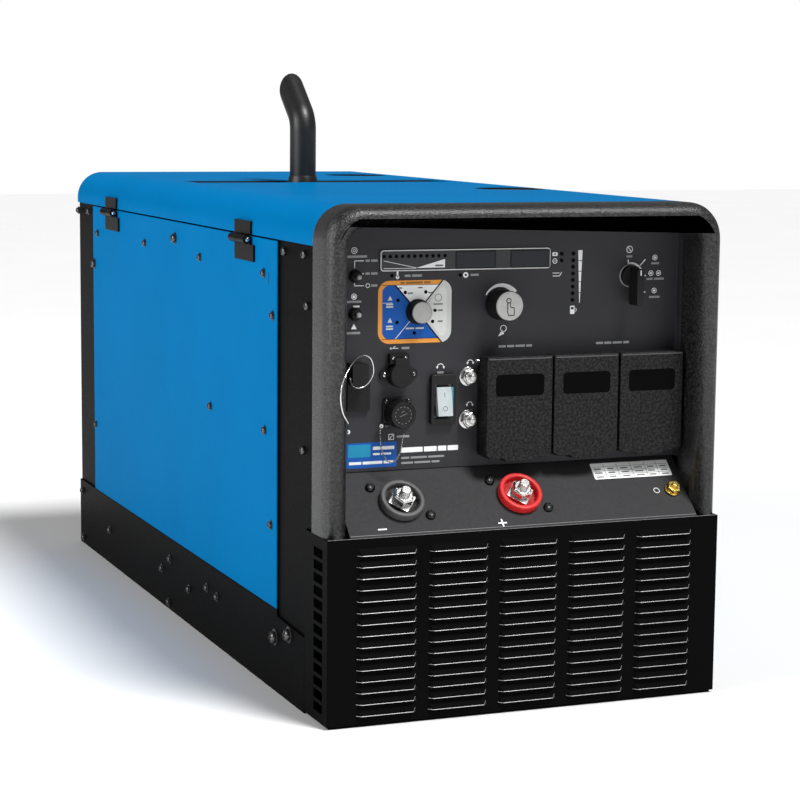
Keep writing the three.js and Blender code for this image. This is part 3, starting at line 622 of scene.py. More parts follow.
# ---- sheet metal and mouldings ----
# CAD nodes shown with a cleaned surface: node, material, bevel and, where needed, sharp angle.
FRAMING = (("base_tray", BLACK, 0.7), ("left_skirt", BLACK, 0.7), ("right_skirt", BLACK, 0.7),
           ("left_front_post", BLACK, 0.7), ("right_front_post", BLACK, 0.7),
           ("front_grille", BLACK, 0.3, 12), ("rear_panel", BLACK, 0.3, 12))
PANELS = (("top_cover", BLUE, 0.8, 30), ("left_side_door", BLUE, 0.7),
          ("right_side_door", BLUE, 0.7), ("front_bezel", BEZEL, 0, 60),
          ("control_panel", PANEL, 1.0), ("output_panel", LOWER_PANEL, 0.8))
INSIDE = (("engine_block", ALUMINIUM, 2.0), ("stator", IRON, 2.0), ("crankshaft", IRON, 1.0),
          ("compressor", IRON, 2.0), ("compressor_pulley", IRON, 1.0),
          ("drive_belt", BELT, 0.8, 50), ("muffler", HEAT, 3.0), ("fuel_tank", TANK, 5.0),
          ("battery", TANK, 2.0))


def shells():
    """Painted sheets, the moulded front frame, the hinge leaves and the dark wing backing."""
    for sheet in FRAMING:
        refined(*sheet)
    # A dark strip inside each wing, behind its gap to the post: painted shade that keeps the gap
    # dark.
    backing = Piece("wing_backing", SOFT, slot="black_paint")
    for side in (-1, 1):
        near, far = sorted((66 * side, 94 * side))
        backing.box(facing_side(side, HALF, 0, 0), near, far, 5, 219, -7.6, -6)
    backing.done()
    for panel in PANELS:
        refined(*panel)
    for side in ("left", "right"):
        for where in ("front", "rear"):
            for leaf in ("lid", "door"):
                refined(f"{side}_{where}_hinge_{leaf}_leaf", HINGE, 0.8, 50)


def inside():
    for part in INSIDE:
        refined(*part)


# ---- fasteners ----
def cross(arm, width):
    """A plus sign, anticlockwise."""
    a, w = arm, width / 2
    return [(a, -w), (a, w), (w, w), (w, a), (-w, a), (-w, w), (-a, w), (-a, -w), (-w, -w),
            (-w, -a), (w, -a), (w, -w)]


def pan_screw(heads, recesses, place, r, turn=20):
    """A domed head with a rolled edge; its cross recess is a dark cross of painted shade."""
    heads.lathe(place, [(r, -0.2), (r, 0.3 * r), (0.96 * r, 0.48 * r), (0.82 * r, 0.66 * r),
                        (0.5 * r, 0.8 * r), (0.02, 0.85 * r)], 24)
    spun = place @ Matrix.Rotation(math.radians(turn), 4, "Z")
    recesses.prism(spun, cross(0.6 * r, 0.22 * r), 0.3 * r, 0.88 * r)


def screws(name, body, places, r, washer=0.0, head=DULL):
    """A set of screws riding on one body, over dark washers where washer is their radius."""
    heads = Piece(f"{name}_heads", head, body, "zinc")
    # Dark crosses on the heads: painted shade standing for the cross recesses.
    recesses = Piece(f"{name}_recesses", SOFT, body, "hinge_black")
    lift = Matrix.Translation((0, 0, 0.9 if washer else 0))
    for i, place in enumerate(places):
        pan_screw(heads, recesses, place @ lift, r, 17 + 31 * i)
    heads.done()
    recesses.done()
    if washer:
        rings = Piece(f"{name}_washers", PLASTIC, body, "hinge_black")
        for place in places:
            rings.lathe(place, [(washer, -0.2), (washer, 0.7), (washer - 0.5, 1), (0.02, 1)], 28)
        rings.done()


# Fastener places on a side, as y and z.
DOOR_SCREWS = [(1058, 513), (780, 515), (503, 513), (232, 512), (197, 463), (456, 319),
               (227, 319), (203, 205), (1080, 209)]
DOOR_BOLTS = [(623, 531), (1082, 464)]
POST_SCREWS = [(163, 543), (91, 544), (80, 485), (92, 314)]
REAR_SCREWS = [(1182, 543), (1115, 545), (1173, 87)]
SKIRT_BOLTS = [(997, 53), (1169, 10), (655, 74), (698, 52), (662, 10), (560, 50), (474, 70),
               (428, 67)]
FRAME_BOLTS = [(187, 68), (134, 83)]


def side_fasteners():
    """The same fasteners on both sides."""
    for side, label in ((-1, "left"), (1, "right")):
        door = f"{label}_door"
        for kind, body, points, inset, r, washer in (
                ("door_screw", door, DOOR_SCREWS, 0, 4.2, 6.2),
                ("door_bolt", door, DOOR_BOLTS, 0, 6.2, 8.4),
                ("post_screw", "chassis", POST_SCREWS, 3.1, 5.2, 0),
                ("rear_screw", "chassis", REAR_SCREWS, 0, 4.6, 6.2),
                ("skirt_bolt", "chassis", SKIRT_BOLTS, 0, 4.4, 6.6),
                ("frame_bolt", "chassis", FRAME_BOLTS, 0, 7.5, 10.5)):
            places = [facing_side(side, HALF - inset, y, z) for y, z in points]
            screws(f"{label}_{kind}", body, places, r, washer)
        slit = Piece(f"{label}_door_slits", SOFT, door, "hinge_black")
        outline = rounded(-1.2, 1.2, -7, 7, 1)
        slit.prism(facing_side(side, HALF, 214, 507), outline, -0.5, 0.15).done()


def hinge_pins():
    """The bright end of each pin, in the ring at the front of its barrel."""
    for side, label in ((-1, "left"), (1, "right")):
        ends = Piece(f"{label}_hinge_pin_ends", STEEL, slot="zinc")
        rings = Piece(f"{label}_hinge_pin_rings", HINGE, slot="hinge_black")
        for where in ("front", "rear"):
            y = node_box(f"{label}_{where}_hinge_lid_leaf")[0].y
            at = facing_front(side * (HALF + 6.5), y, 550)
            ends.lathe(at, [(2.4, -2), (2.4, 0.6), (1.9, 1), (0.02, 1.1)], 20)
            rings.tube(at, 2.5, 4.4, -0.5, 0.5, 24)
        ends.done()
        rings.done()


# ---- lid ----
TROUGH_FRONT, TROUGH_REAR = 706, 790
TROUGH_HALF = 195.9
TROUGH_FLOOR = TOP_Z - 8
SLOT_PITCH = 28


def trough():
    """The trough's black liner with its slotted strip, and painted highlights on the slots' front
    edges.
    """
    up = facing_up(0, 0, 0)
    half, floor = TROUGH_HALF, TROUGH_FLOOR
    liner = Piece("trough_liner", HEAT, slot="black_paint")
    for y in (TROUGH_FRONT + 0.1, TROUGH_REAR - 1.2):
        liner.box(up, -half, half, y, y + 1.1, floor + 0.05, TOP_Z - 0.9)
    for u0, u1, v0, v1 in ((-half, -52, TROUGH_FRONT + 1, 768), (-5, half, TROUGH_FRONT + 1, 768),
                           (-half, half, 778, TROUGH_REAR - 1)):
        liner.box(up, u0, u1, v0, v1, floor, floor + 0.6)
    for i in range(15):
        x = -198 + i * SLOT_PITCH
        u0, u1 = max(x - 2.8, -half), min(x + 2.8, half)
        if u1 > u0 and abs(x - PIPE_X) > 26:
            liner.box(up, u0, u1, 767, 779, floor, floor + 0.7)
    liner.done()
    # Thin steel strips at the slots' front edges: painted highlights where the edges catch the
    # light.
    edges = Piece("trough_slot_edges", STEEL, slot="zinc")
    for i in range(14):
        x = -184 + i * SLOT_PITCH
        if abs(x - PIPE_X) > 30:
            edges.box(up, x - 11.5, x + 11.5, 769.2, 769.9, floor + 0.3, floor + 1.8)
    edges.done()


def wells():
    """Black liners in both wells, the ribbed fuel cap and the clip beside it."""
    liners = Piece("well_liners", SOFT, slot="black_plastic")
    for well, bore in ((FUEL_WELL, 27), (REAR_WELL, 0.1)):
        at = facing_up(*well, TOP_Z)
        liners.tube(at, 46.5, 49.9, -19.5, -0.6, 64)
        liners.tube(at, bore, 49, -19.9, -19.2, 64)
    liners.done()
    cap = Piece("fuel_cap_finish", PLASTIC, "fuel_cap", "black_plastic")
    cap.lathe(facing_up(*FUEL_WELL, 0), [(33, 592.4), (33, 600), (31.5, 602), (0.02, 602)], 96,
              ribbed(24, 0.9, 32.5, 590, 603, 0.3))
    cap.done(0.3, replaces=("fuel_cap",))
    clip = Piece("well_clip", STEEL, slot="zinc")
    dome = [(2.6, -10), (2.6, 1), (1.6, 1.8), (0.02, 2)]
    clip.lathe(facing_up(128, 437, TOP_Z - 2.2), dome, 16).done()


def lid_front_edge():
    """The lit line along the lid's front edge and round both shoulders."""
    def line_inside(inset):
        x, z, r = HALF - 40, TOP_Z - 40, 40 - inset
        return [(HALF - inset, 562), *arc(x, z, r, 0, 90, 12), *arc(-x, z, r, 90, 180, 12),
                (inset - HALF, 562)]
    edge = Piece("lid_front_edge", LIT_BLUE, slot="blue_paint")
    outer, inner = line_inside(0.1), line_inside(1.1)
    for corners in zip(outer, outer[1:], inner[1:], inner):
        edge.prism(facing_front(0, 54.3, 0), corners, -0.3, 0.1)
    edge.done()


def lid_details():
    trough()
    wells()
    places = [facing_up(x, y, TOP_Z - 7.4) for x, y in ((114, 727), (149, 723))]
    screws("lid_screw", "chassis", places, 6.5, 8.4)
    refined("exhaust_pipe", PIPE_BLACK, 0.5, 50)
    lid_front_edge()


# ---- louvres ----
def strut(piece, a, b, r):
    """A thin bar from a to b."""
    way = Vector(b) - Vector(a)
    place = Matrix.Translation(a) @ way.to_track_quat("Z", "Y").to_matrix().to_4x4()
    piece.prism(place, disc(0, 0, r, 6), 0, way.length)


def grille_details():
    """Painted highlights along each hood's lip: its open edge, back at its ends and up its right
    crease.
    """
    # The bright bars on each hood's lip and crease are painted highlights.
    lips = Piece("louvre_lips", LIP_HIGHLIGHT, slot="zinc")
    creases = Piece("louvre_creases", EDGE_HIGHLIGHT, slot="black_paint")
    half, reach, height = 37.5, 5, 10
    for x in (-180, -90, 0, 90, 180):
        for row in range(15):
            z = 14.2 + row * 13.5
            left, right = x - half, x + half
            ends = [(left, -0.2, z), (left + reach, -reach, z), (right - reach, -reach, z),
                    (right, -0.2, z)]
            for a, b in zip(ends, ends[1:]):
                strut(lips, a, b, 0.34)
            top = (right - reach * 0.45, -reach * 0.55, z + height * 0.42)
            strut(creases, ends[2], top, 0.36)
    lips.done()
    creases.done()
    # A bright bar along the grille's top edge: a painted highlight at the output panel's fold.
    edge = Piece("grille_top_edge", LIP_HIGHLIGHT, slot="black_paint")
    edge.box(facing_front(0, 0, 0), -HALF + 0.8, HALF - 0.8, GRILLE_TOP - 0.1, GRILLE_TOP + 0.25,
             -0.9, -0.1)
    edge.done()


# ---- control panel ----
PANEL_FACE = facing_front()
PROUD = 0.12                    # how far a print stands off the surface


class Print:
    """Printed marks on one surface, each colour a thin layer."""

    def __init__(self, name, place, body="chassis"):
        self.name = name
        self.place = place
        self.body = body
        self.inks = {}

    def mark(self, ink, outline, layer=1):
        if ink not in self.inks:
            label = f"{self.name}_{ink.name}"
            self.inks[ink] = Piece(label, ink, self.body, "panel_paint")
        self.inks[ink].prism(self.place, outline, -0.05, PROUD * layer)

    def strokes(self, ink, width, *ends, layer=1):
        """Straight lines of one width, each given as u0, v0, u1, v1."""
        for end in ends:
            self.mark(ink, line(*end, width), layer)

    def dots(self, ink, r, steps, *places, layer=1):
        for place in places:
            self.mark(ink, disc(*place, r, steps), layer)

    def ring(self, ink, u, v, r, width=0.7, start=0, end=360, layer=1):
        self.mark(ink, band(u, v, r - width, r, start, end, 20), layer)

    def caption(self, ink, u0, u1, v, tall=3.4, words=(0.55, 0.45), layer=1):
        """Blank bars, one for each word that would be printed."""
        span = (u1 - u0 - 1.6 * (len(words) - 1)) / sum(words)
        start = u0
        for share in words:
            wide = span * share
            bar = rounded(start, start + wide, v - tall / 2, v + tall / 2, 0.6, 2)
            self.mark(ink, bar, layer)
            start += wide + 1.6

    def outline(self, ink, u0, u1, v0, v1, r, width, layer=1):
        """A closed line of even width, just inside a rounded rectangle."""
        outer = rounded(u0, u1, v0, v1, r)
        inner = rounded(u0 + width, u1 - width, v0 + width, v1 - width, max(r - width, 0.1))
        for corners in border(outer, inner):
            self.mark(ink, corners, layer)

    def done(self):
        for piece in self.inks.values():
            piece.done()


def display():
    """Meter strip: a thin silver frame, a row of lamps and a wedge that widens to the right."""
    low, high = node_box("display_window")
    p = Print("display_print", facing_front(0, low.y, 0))
    u0, u1, v0, v1 = low.x + 0.2, high.x - 0.2, low.z + 0.2, high.z - 0.2
    p.outline(SILVER_INK, u0, u1, v0, v1, 4, 1.1)
    p.dots(DARK, 2.1, 16, *[(-161.5 + i * 7.7, 541.5) for i in range(11)], layer=4)
    p.mark(WHITE, [(-121, 527.6), (-84.5, 527.6), (-84.5, 537.5)], 1.4)
    p.strokes(WHITE, 0.6, (-162, 536.5, -121, 527.8), (-162, 527.4, -121, 527.4), layer=1.4)
    p.mark(SMOKE_INK, rounded(-97, -87, 529, 531, 0.5, 2), 1.8)
    p.done()


def display_glass():
    """The meter strip's bar with two framed lenses."""
    refined("display_window", BAR, 0.3)
    lens = Piece("display_lenses", GLASS, slot="display_glass")
    frames = Piece("display_frames", DARKER, slot="black_plastic")
    front = facing_front(0, node_box("display_window")[0].y, 0)
    for u0, u1, v0, v1 in ((-71, -19, 525.5, 547), (0, 52, 525.5, 547)):
        frames.prism(front, rounded(u0, u1, v0, v1, 1), -0.5, 0.25)
        lens.prism(front, rounded(u0 + 1.4, u1 - 1.4, v0 + 1.4, v1 - 1.4, 0.8), 0.1, 0.4)
    frames.done()
    lens.done(0.1)


PLATE = (-168, -75, 439, 513)                      # the dial plate's left, right, low and high


def dial_ground(p):
    """Orange and blue at the left, both with round left corners; pale at the right."""
    left, right, low, high = PLATE
    for ink, inset, r, foot, head, layer in ((ORANGE, 0, 14, -87, -86, 1),
                                             (INK_BLUE, 5.3, 9, -92, -91, 1.6)):
        u, v0, v1 = left + inset + r, low + inset + r, high - inset - r
        p.mark(ink, [(foot, v0 - r), (head, v1 + r), *arc(u, v1, r, 90, 180),
                     *arc(u, v0, r, 180, 270)], layer)
    hub = PROCESS_KNOB
    p.mark(WHITE, [hub, (-91.5, high - 5.5), (-146, high - 5.5)], 2.2)
    upper = arc(right - 14, high - 14, 14, 0, 66, 6)
    lower = arc(right - 14, low + 14, 14, -66, 0, 6)
    p.mark(PALE, [hub, (-87, low), *lower, *upper, (-86, high)], 2.2)
    upper = arc(right - 16, high - 16, 10, 0, 60, 5)
    lower = arc(right - 16, low + 16, 10, -60, 0, 5)
    p.mark(SILVER_INK, [(-112, 476), (-89.5, low + 9), *lower, *upper, (-89, high - 9)], 2.6)


def selector(p):
    """The process dial's plate: wedges round the knob, their borders, lamps and bars."""
    dial_ground(p)
    left, right, low, high = PLATE
    hub = PROCESS_KNOB
    p.strokes(DARK, 1.5, (*hub, -86, high), (*hub, -87, low), (*hub, -146.5, high - 5.5), layer=3)
    p.strokes(WHITE, 0.7, (*hub, -146, low + 5.5), layer=2.4)
    p.strokes(WHITE, 0.4, (-162.5, 487, -150, 487), layer=2.4)
    p.strokes(DARK, 0.5, (left + 5, high - 5.3, -92, high - 5.3),
              (left + 5, low + 5.3, -90, low + 5.3), layer=3)
    p.dots(DARK, 2.1, 16, (-134, 499), (-108, 499), (-143, 490), (-144, 464), (-96, 477),
           (-99, 464), (-122, 451), layer=5)
    p.caption(BROWN_INK, -140, -102, 510.3, 2.4, (0.12, 0.5, 0.2), 1.6)
    for u, v in ((-153, 490), (-153, 464)):
        p.caption(PALE, u - 5, u + 4, v - 4.6, 1.9, (1,), 2.4)
        p.caption(PALE, u - 5, u + 4, v - 7.6, 1.9, (1,), 2.4)
        p.mark(PALE, [(u - 3, v), (u + 3, v), (u, v + 5.4)], 2.4)
    p.caption(PALE, -133, -110, 456.5, 1.8, (0.5, 0.5), 2.4)
    for u in (-141, -115):
        p.caption(SMOKE_INK, u - 3, u + 3, 504.3, 1.6, (1,), 2.6)
        p.caption(SMOKE_INK, u + 10, u + 17, 498, 1.6, (1,), 2.6)
    p.ring(SMOKE_INK, -92, 492, 4.6, 0.7, layer=3)
    p.caption(SMOKE_INK, -98, -86, 484.4, 1.6, (1,), 3)
    for v in (477, 464):
        p.caption(SMOKE_INK, -92.5, -86, v, 1.8, (1,), 3)


def fuel_gauge(p):
    """A column of lamps beside a tapering scale, a pump icon, and the status lamps."""
    p.dots(DARK, 2.3, 16, *[(84, 541 - 8 * i) for i in range(8)], layer=5)
    for i in range(5):
        top = 545 - 12.9 * i
        left, right = 90.5 + 0.52 * i, 96.3 - 0.52 * i
        p.mark(WHITE, [(left, top), (left + 0.4, top - 12), (right - 0.4, top - 12), (right, top)])
    p.mark(WHITE, rounded(81, 87, 468, 478, 0.8, 2))
    p.mark(DARK, rect(82.2, 85.8, 473.6, 476.4), 1.5)
    p.ring(WHITE, 87.6, 473, 2.2, 0.7, -90, 90)
    p.dots(DARK, 2.3, 16, (68.5, 541), (68.5, 533), layer=5)
    p.mark(WHITE, rounded(56, 63, 538.6, 543, 1, 2))
    p.mark(PANEL, rect(58, 61, 540, 541.6), 1.5)
    p.ring(WHITE, 59.5, 532.5, 3.2, 0.8)
    p.strokes(WHITE, 0.7, (57.6, 532.5, 61.4, 532.5))
    p.strokes(WHITE, 0.8, (57, 518, 66, 518), (57, 514.5, 66, 514.5), (66, 514.5, 69, 519))


def tapered_arc(p, u, v, r, start, end, thin, thick, steps=14):
    """A wedge-shaped arc that widens from thin to thick, away from its centre."""
    inner = arc(u, v, r, start, end, steps)
    outer = []
    for i in range(steps + 1):
        a = math.radians(end + (start - end) * i / steps)
        wide = thick + (thin - thick) * i / steps
        outer.append((u + (r + wide) * math.cos(a), v + (r + wide) * math.sin(a)))
    p.mark(WHITE, inner + outer)


# Captions in caption ink: left, right, height of the middle, thickness and share of each word.
CAPTIONS = (
    (-135, -113, 518.5, 3.2, (0.35, 0.6)), (-51, -40, 518, 3, (1,)),
    (-13, 31, 431.5, 3.2, (3, 3, 4, 2.4)), (117, 162, 431.5, 3.2, (3, 3, 4, 2.4)),
    (-138, -128, 433.5, 3.2, (1,)), (-92, -84, 403, 3.2, (1,)),
    (-53, -46, 406.5, 2.6, (1,)), (-53, -46, 356, 2.6, (1,)),
    (-208, -182, 542, 3.4, (1,)), (-184, -169, 537, 3.2, (2, 3)),
    (-184, -169, 522, 3.2, (2, 3)), (-177, -169, 508, 3.2, (1,)),
    (-207, -189, 489.5, 3.2, (1,)), (-207, -190, 453, 3.2, (1,)),
    (190, 201, 527.4, 3, (1,)), (184, 208, 508.4, 3, (2, 3)),
    (188, 203, 486.2, 3, (1,)), (156, 164, 536.4, 3, (1,)), (-143, -127, 328.5, 3, (1,)),
)
CAPTION_TALL = 0.85                                # of the thickness in the table


def meter_icons(p):
    """A thermometer and a round mark under the display, each beside a lamp."""
    p.dots(DARK, 2.1, 16, (-151, 519), layer=5)
    p.mark(WHITE, rounded(-145, -142.8, 517, 524, 1, 3))
    p.dots(WHITE, 2.2, 14, (-143.9, 517))
    p.dots(DARK, 2.1, 16, (-64, 518), layer=5)
    p.dots(WHITE, 3.4, 20, (-57, 518))
    p.dots(PANEL, 1.5, 14, (-57, 518), layer=1.6)


def toggle_marks(p):
    """Brackets from the compressor switch to its captions, and an icon by each switch."""
    for v0, v1 in ((528.5, 537), (516, 508)):
        p.strokes(WHITE, 0.9, (-197.5, v0, -197.5, v1), (-197.9, v1, -186, v1))
    p.dots(WHITE, 0.9, 10, (-187, 522))
    for u, v, r, width in ((-181, 508, 2.7, 0.7), (-198, 549, 3.8, 0.7), (-198, 549, 1.8, 0.6),
                           (-198, 495.5, 3.6, 0.7)):
        p.ring(WHITE, u, v, r, width)
    p.mark(WHITE, rect(-200, -196, 493.4, 497))
    p.caption(WHITE, -199, -191, 484, 2.2, (1,))
    p.mark(WHITE, [(-201.5, 457.5), (-194.5, 457.5), (-198, 464)])


def switch_marks(p):
    """The engine switch's positions: off at the top, then three clockwise."""
    p.ring(WHITE, 160, 545, 4.4, 0.9)
    p.strokes(WHITE, 0.9, (157.4, 548, 162.6, 542))
    tapered_arc(p, *ENGINE_SWITCH, 14.6, 100, 20, 1.2, 3.4)
    p.strokes(WHITE, 1.2, (158.4, 526, 158.4, 532.6), (173, 523, 182, 532.5))
    p.strokes(WHITE, 2.2, (176, 512.5, 178.4, 519))
    p.dots(WHITE, 1, 10, (182, 512.5), (182, 492.5))
    for u, v in ((195, 534.5), (195, 494), (190, 515.3), (200.5, 515.3)):
        p.ring(WHITE, u, v, 3.4, 0.8)
        p.mark(WHITE, rect(u - 1.4, u + 1.4, v - 1.2, v + 1.2))


def socket_marks(p):
    """Arc arrows over the breaker and the buttons; small marks by the two sockets."""
    for u, v, r in ((-88, 409, 4.6), (-49.6, 413, 4), (-49.6, 362.6, 4)):
        p.ring(WHITE, u, v, r, 0.8, 10, 170)
        for end in (-1, 1):
            p.mark(WHITE, [(u + end * (r - 2), v + 0.9), (u + end * (r + 1.2), v + 0.9),
                           (u + end * (r - 0.4), v - 1.8)][::end])
    p.strokes(WHITE, 0.7, (-152, 433.5, -142, 433.5), (-149, 433.5, -146, 436))
    p.dots(WHITE, 1.2, 10, (-151.5, 433.5))
    p.outline(WHITE, -153.5, -146.5, 325, 332, 0.8, 0.7)
    p.strokes(WHITE, 0.7, (-152, 326.5, -148, 330.5))


def panel_prints():
    p = Print("panel_print", PANEL_FACE)
    selector(p)
    fuel_gauge(p)
    tapered_arc(p, *ADJUST_KNOB, 20.5, 148, 34, 1.5, 6.5)
    p.ring(WHITE, -7, 453, 4.2, 0.8)
    p.mark(WHITE, [(-14, 443.5), (-6, 446.5), (-8.5, 451.5)])
    for u0, u1, v, tall, words in CAPTIONS:
        p.caption(TEXT, u0, u1, v, tall * CAPTION_TALL, words)
    meter_icons(p)
    toggle_marks(p)
    switch_marks(p)
    socket_marks(p)
    p.done()


# ---- controls ----
def knob(name, place, skirt, sides, grooves, cap, cap_sides):
    """A grooved black skirt with a silver cap, on a place on the panel."""
    at = on_panel(place, KNOB_Y)
    base = Piece(f"{name}_skirt", SOFT, name, "black_plastic")
    base.lathe(at, skirt, sides, grooves)
    base.done(0.25, replaces=(name,))
    Piece(f"{name}_cap", CAP, name, "knob_cap").lathe(at, cap, cap_sides).done()


def knobs():
    knob("process_knob", PROCESS_KNOB,
         [(15, 0), (15, 2.6), (14.2, 4), (13.4, 5), (13.05, 13.4), (12.7, 14), (0.02, 14)], 120,
         ribbed(30, 0.35, 13, 4, 12),
         [(12.6, 13.4), (12.6, 15), (12.1, 15.7), (11.3, 15.7), (11.1, 15.4), (0.02, 15.35)], 64)
    knob("adjust_knob", ADJUST_KNOB,
         [(18.8, 0), (18.8, 3.6), (18.3, 5), (18.1, 6), (17.95, 26.6), (17.4, 27.6),
          (0.02, 27.6)], 144,
         ribbed(36, 0.4, 17.4, 7, 24),
         [(17.2, 27), (17.2, 28.8), (16.6, 29.6), (15.7, 29.6), (15.4, 29.3), (0.02, 29.25)], 72)
    icon = Print("adjust_knob_print", on_panel(ADJUST_KNOB, KNOB_Y - 29.3), "adjust_knob")
    icon.ring(DARK, -1.5, 6.5, 3.2, 0.9)
    icon.strokes(DARK, 0.9, (-3, 4, -3, -7), (0.4, 4.4, 0.4, -1), (0.4, -1, 5.6, -2),
                 (5.6, -2, 5.6, -11), (-3, -7, -1.6, -11), (-1.6, -11, 5.6, -11))
    icon.done()


def engine_switch():
    """A winged switch with a white line on it, in a silver ring."""
    ring = Piece("engine_switch_ring", CAP, slot="knob_cap")
    ring.tube(on_panel(ENGINE_SWITCH), 11.2, 14.2, -0.2, 1.1, 56).done(0.3)
    refined("engine_switch", SOFT, 0.9, 40, 3)
    pointer = Piece("engine_switch_pointer", WHITE, "engine_switch", "black_plastic")
    front = on_panel(ENGINE_SWITCH, node_box("engine_switch")[0].y)
    pointer.prism(front, rounded(-0.7, 0.7, 2, 8.4, 0.4, 3), -0.2, 0.12).done()


def toggles():
    """Two levers with silver tips, each in a rubber collar."""
    for name, place in TOGGLES.items():
        collar = Piece(f"{name}_collar", SOFT, slot="black_plastic")
        flare = [(7.8, -0.1), (7.6, 2.4), (6.6, 5), (5.2, 6.4), (4.9, 6.6)]
        collar.lathe(on_panel(place), flare, 40).done()
        refined(name, SOFT, 0.4, 60)
        tip = Piece(f"{name}_tip", CAP, name, "knob_cap")
        dome = [(3, -4.4), (3.2, -3.4), (2.9, -1.2), (2.2, -0.2), (1.2, 0.1), (0.02, 0.12)]
        tip.lathe(on_panel(place, node_box(name)[0].y), dome, 28).done()


def breaker():
    """The main breaker: a white rocker inside a tinted rim and right wall."""
    refined("breaker_frame", PLASTIC, 0.8)
    refined("breaker_rocker", ROCKER, 0.7, 30, 3)
    # The rocker's front is a shallow V, so each mark lies on its own slope.
    lower = axes((1, 0, 0), (0, 0.185, 0.983), (-86, 55.9, 361))
    p = Print("breaker_off_print", lower, "breaker_rocker")
    p.ring(SMOKE_INK, 0, 0, 3, 0.7)
    p.done()
    upper = axes((1, 0, 0), (0, 0.174, 0.985), (-86, 58.8, 377))
    p = Print("breaker_on_print", upper, "breaker_rocker")
    p.strokes(SMOKE_INK, 0.8, (0, -3, 0, 3))
    p.done()
    rim = Piece("breaker_boot_rim", BOOT, slot="rocker_white")
    outer = rounded(-98.2, -73.8, 346.8, 391.2, 5.5)
    inner = rounded(-95.8, -76.2, 349.2, 388.8, 4)
    for corners in border(outer, inner):
        rim.prism(PANEL_FACE, corners, -0.3, 2.4)
    rim.done()
    wall = Piece("breaker_boot_wall", TEAL, slot="rocker_white")
    wall.prism(PANEL_FACE, rounded(-76.2, -74.2, 352, 386, 0.8, 3), 0.5, 8).done(0.6)


def resets():
    """Grey buttons in bright hexagonal sleeves."""
    sleeves = Piece("reset_sleeves", ZINC, slot="zinc")
    for place in RESETS:
        at = on_panel(place)
        sleeves.lathe(at, [(11.6, -0.1), (11.6, 1.2), (11.0, 1.6), (9, 1.6)], 48)
        sleeves.hexagon(at, 10.4, 1.2, 8.4, 1.3, 12)
        sleeves.lathe(at, [(7.6, 8.2), (7.6, 10.6), (6.9, 11.4), (5.2, 11.5)], 40)
    sleeves.done(0.3)
    for name in ("upper_reset_button", "lower_reset_button"):
        refined(name, BUTTON, 0.3, 50)


def utility_socket():
    """The low-voltage socket with its hinged cap."""
    x, z = UTILITY_SOCKET
    bolts = [facing_front(x + dx, 64.7, z) for dx in (-18.1, 18.1)]
    screws("utility_flange_screw", "chassis", bolts, 2.9, 0, ZINC)
    pins = Piece("utility_cover_pins", STEEL, slot="zinc")
    for end in (-151.5, -136.5):
        pins.lathe(facing_front(end, 58.8, 423), [(1.8, -0.5), (1.7, 0.7), (1, 1.1), (0.02, 1.2)],
                   16)
    pins.done()
    cover = Piece("utility_cover_face", PLASTIC, "utility_socket_cover", "black_plastic")
    cover.tube(on_panel(UTILITY_SOCKET, 52.2), 11.2, 12.4, -0.1, 0.35, 48).done()


def remote_cap():
    """The screwed cap of the remote receptacle, fluted all round, and its flange screws."""
    def flutes(a, r, h):
        return r - (0.8 * max(0, math.cos(16 * a)) ** 2 if r > 15.5 and h < 21 else 0)
    cap = Piece("remote_cap_finish", PLASTIC, "remote_cap", "black_plastic")
    cap.lathe(on_panel(REMOTE_CAP, KNOB_Y),
              [(13.5, 14.4), (13.5, 5), (16.5, 5), (16.5, 20.6), (16, 22.4), (14.8, 23.8),
               (12.4, 24), (11.9, 23.3), (0.02, 23.2)], 128, flutes)
    cap.done(0, replaces=("remote_cap",))
    marks = Print("remote_cap_print", on_panel(REMOTE_CAP, KNOB_Y - 23.2), "remote_cap")
    for i in range(14):
        start = i * 360 / 14
        marks.mark(SMOKE_INK, band(0, 0, 9.6, 10.5, start, start + 11, 3))
    marks.strokes(SMOKE_INK, 0.8, (-4.5, -1.5, 4.5, 2))
    marks.strokes(SMOKE_INK, 0.7, (-3, 3.4, 1.5, 5.2))
    marks.done()
    x, z = REMOTE_CAP
    lugs = [facing_front(x + dx, 64.7, z + dz) for dx in (-14, 14) for dz in (-14, 14)]
    screws("remote_flange_screw", "chassis", lugs, 2.7)


def sockets():
    refined("utility_socket", SOFT, 0.7, 40)
    refined("utility_socket_cover", SOFT, 0.7, 40)
    refined("remote_receptacle", PLASTIC, 0.7, 40)
    refined("aux_socket", SOFT, 0.8, 40)
    utility_socket()
    remote_cap()
    holder = Piece("cord_anchors", STEEL, slot="zinc")
    holder.tube(facing_front(-165, 62.2, 343), 1.1, 2.4, -1, 1, 24)
    holder.tube(facing_front(-207, 61.2, 338), 0.9, 2.6, -1.2, 1.2, 24)
    holder.done(0.2)


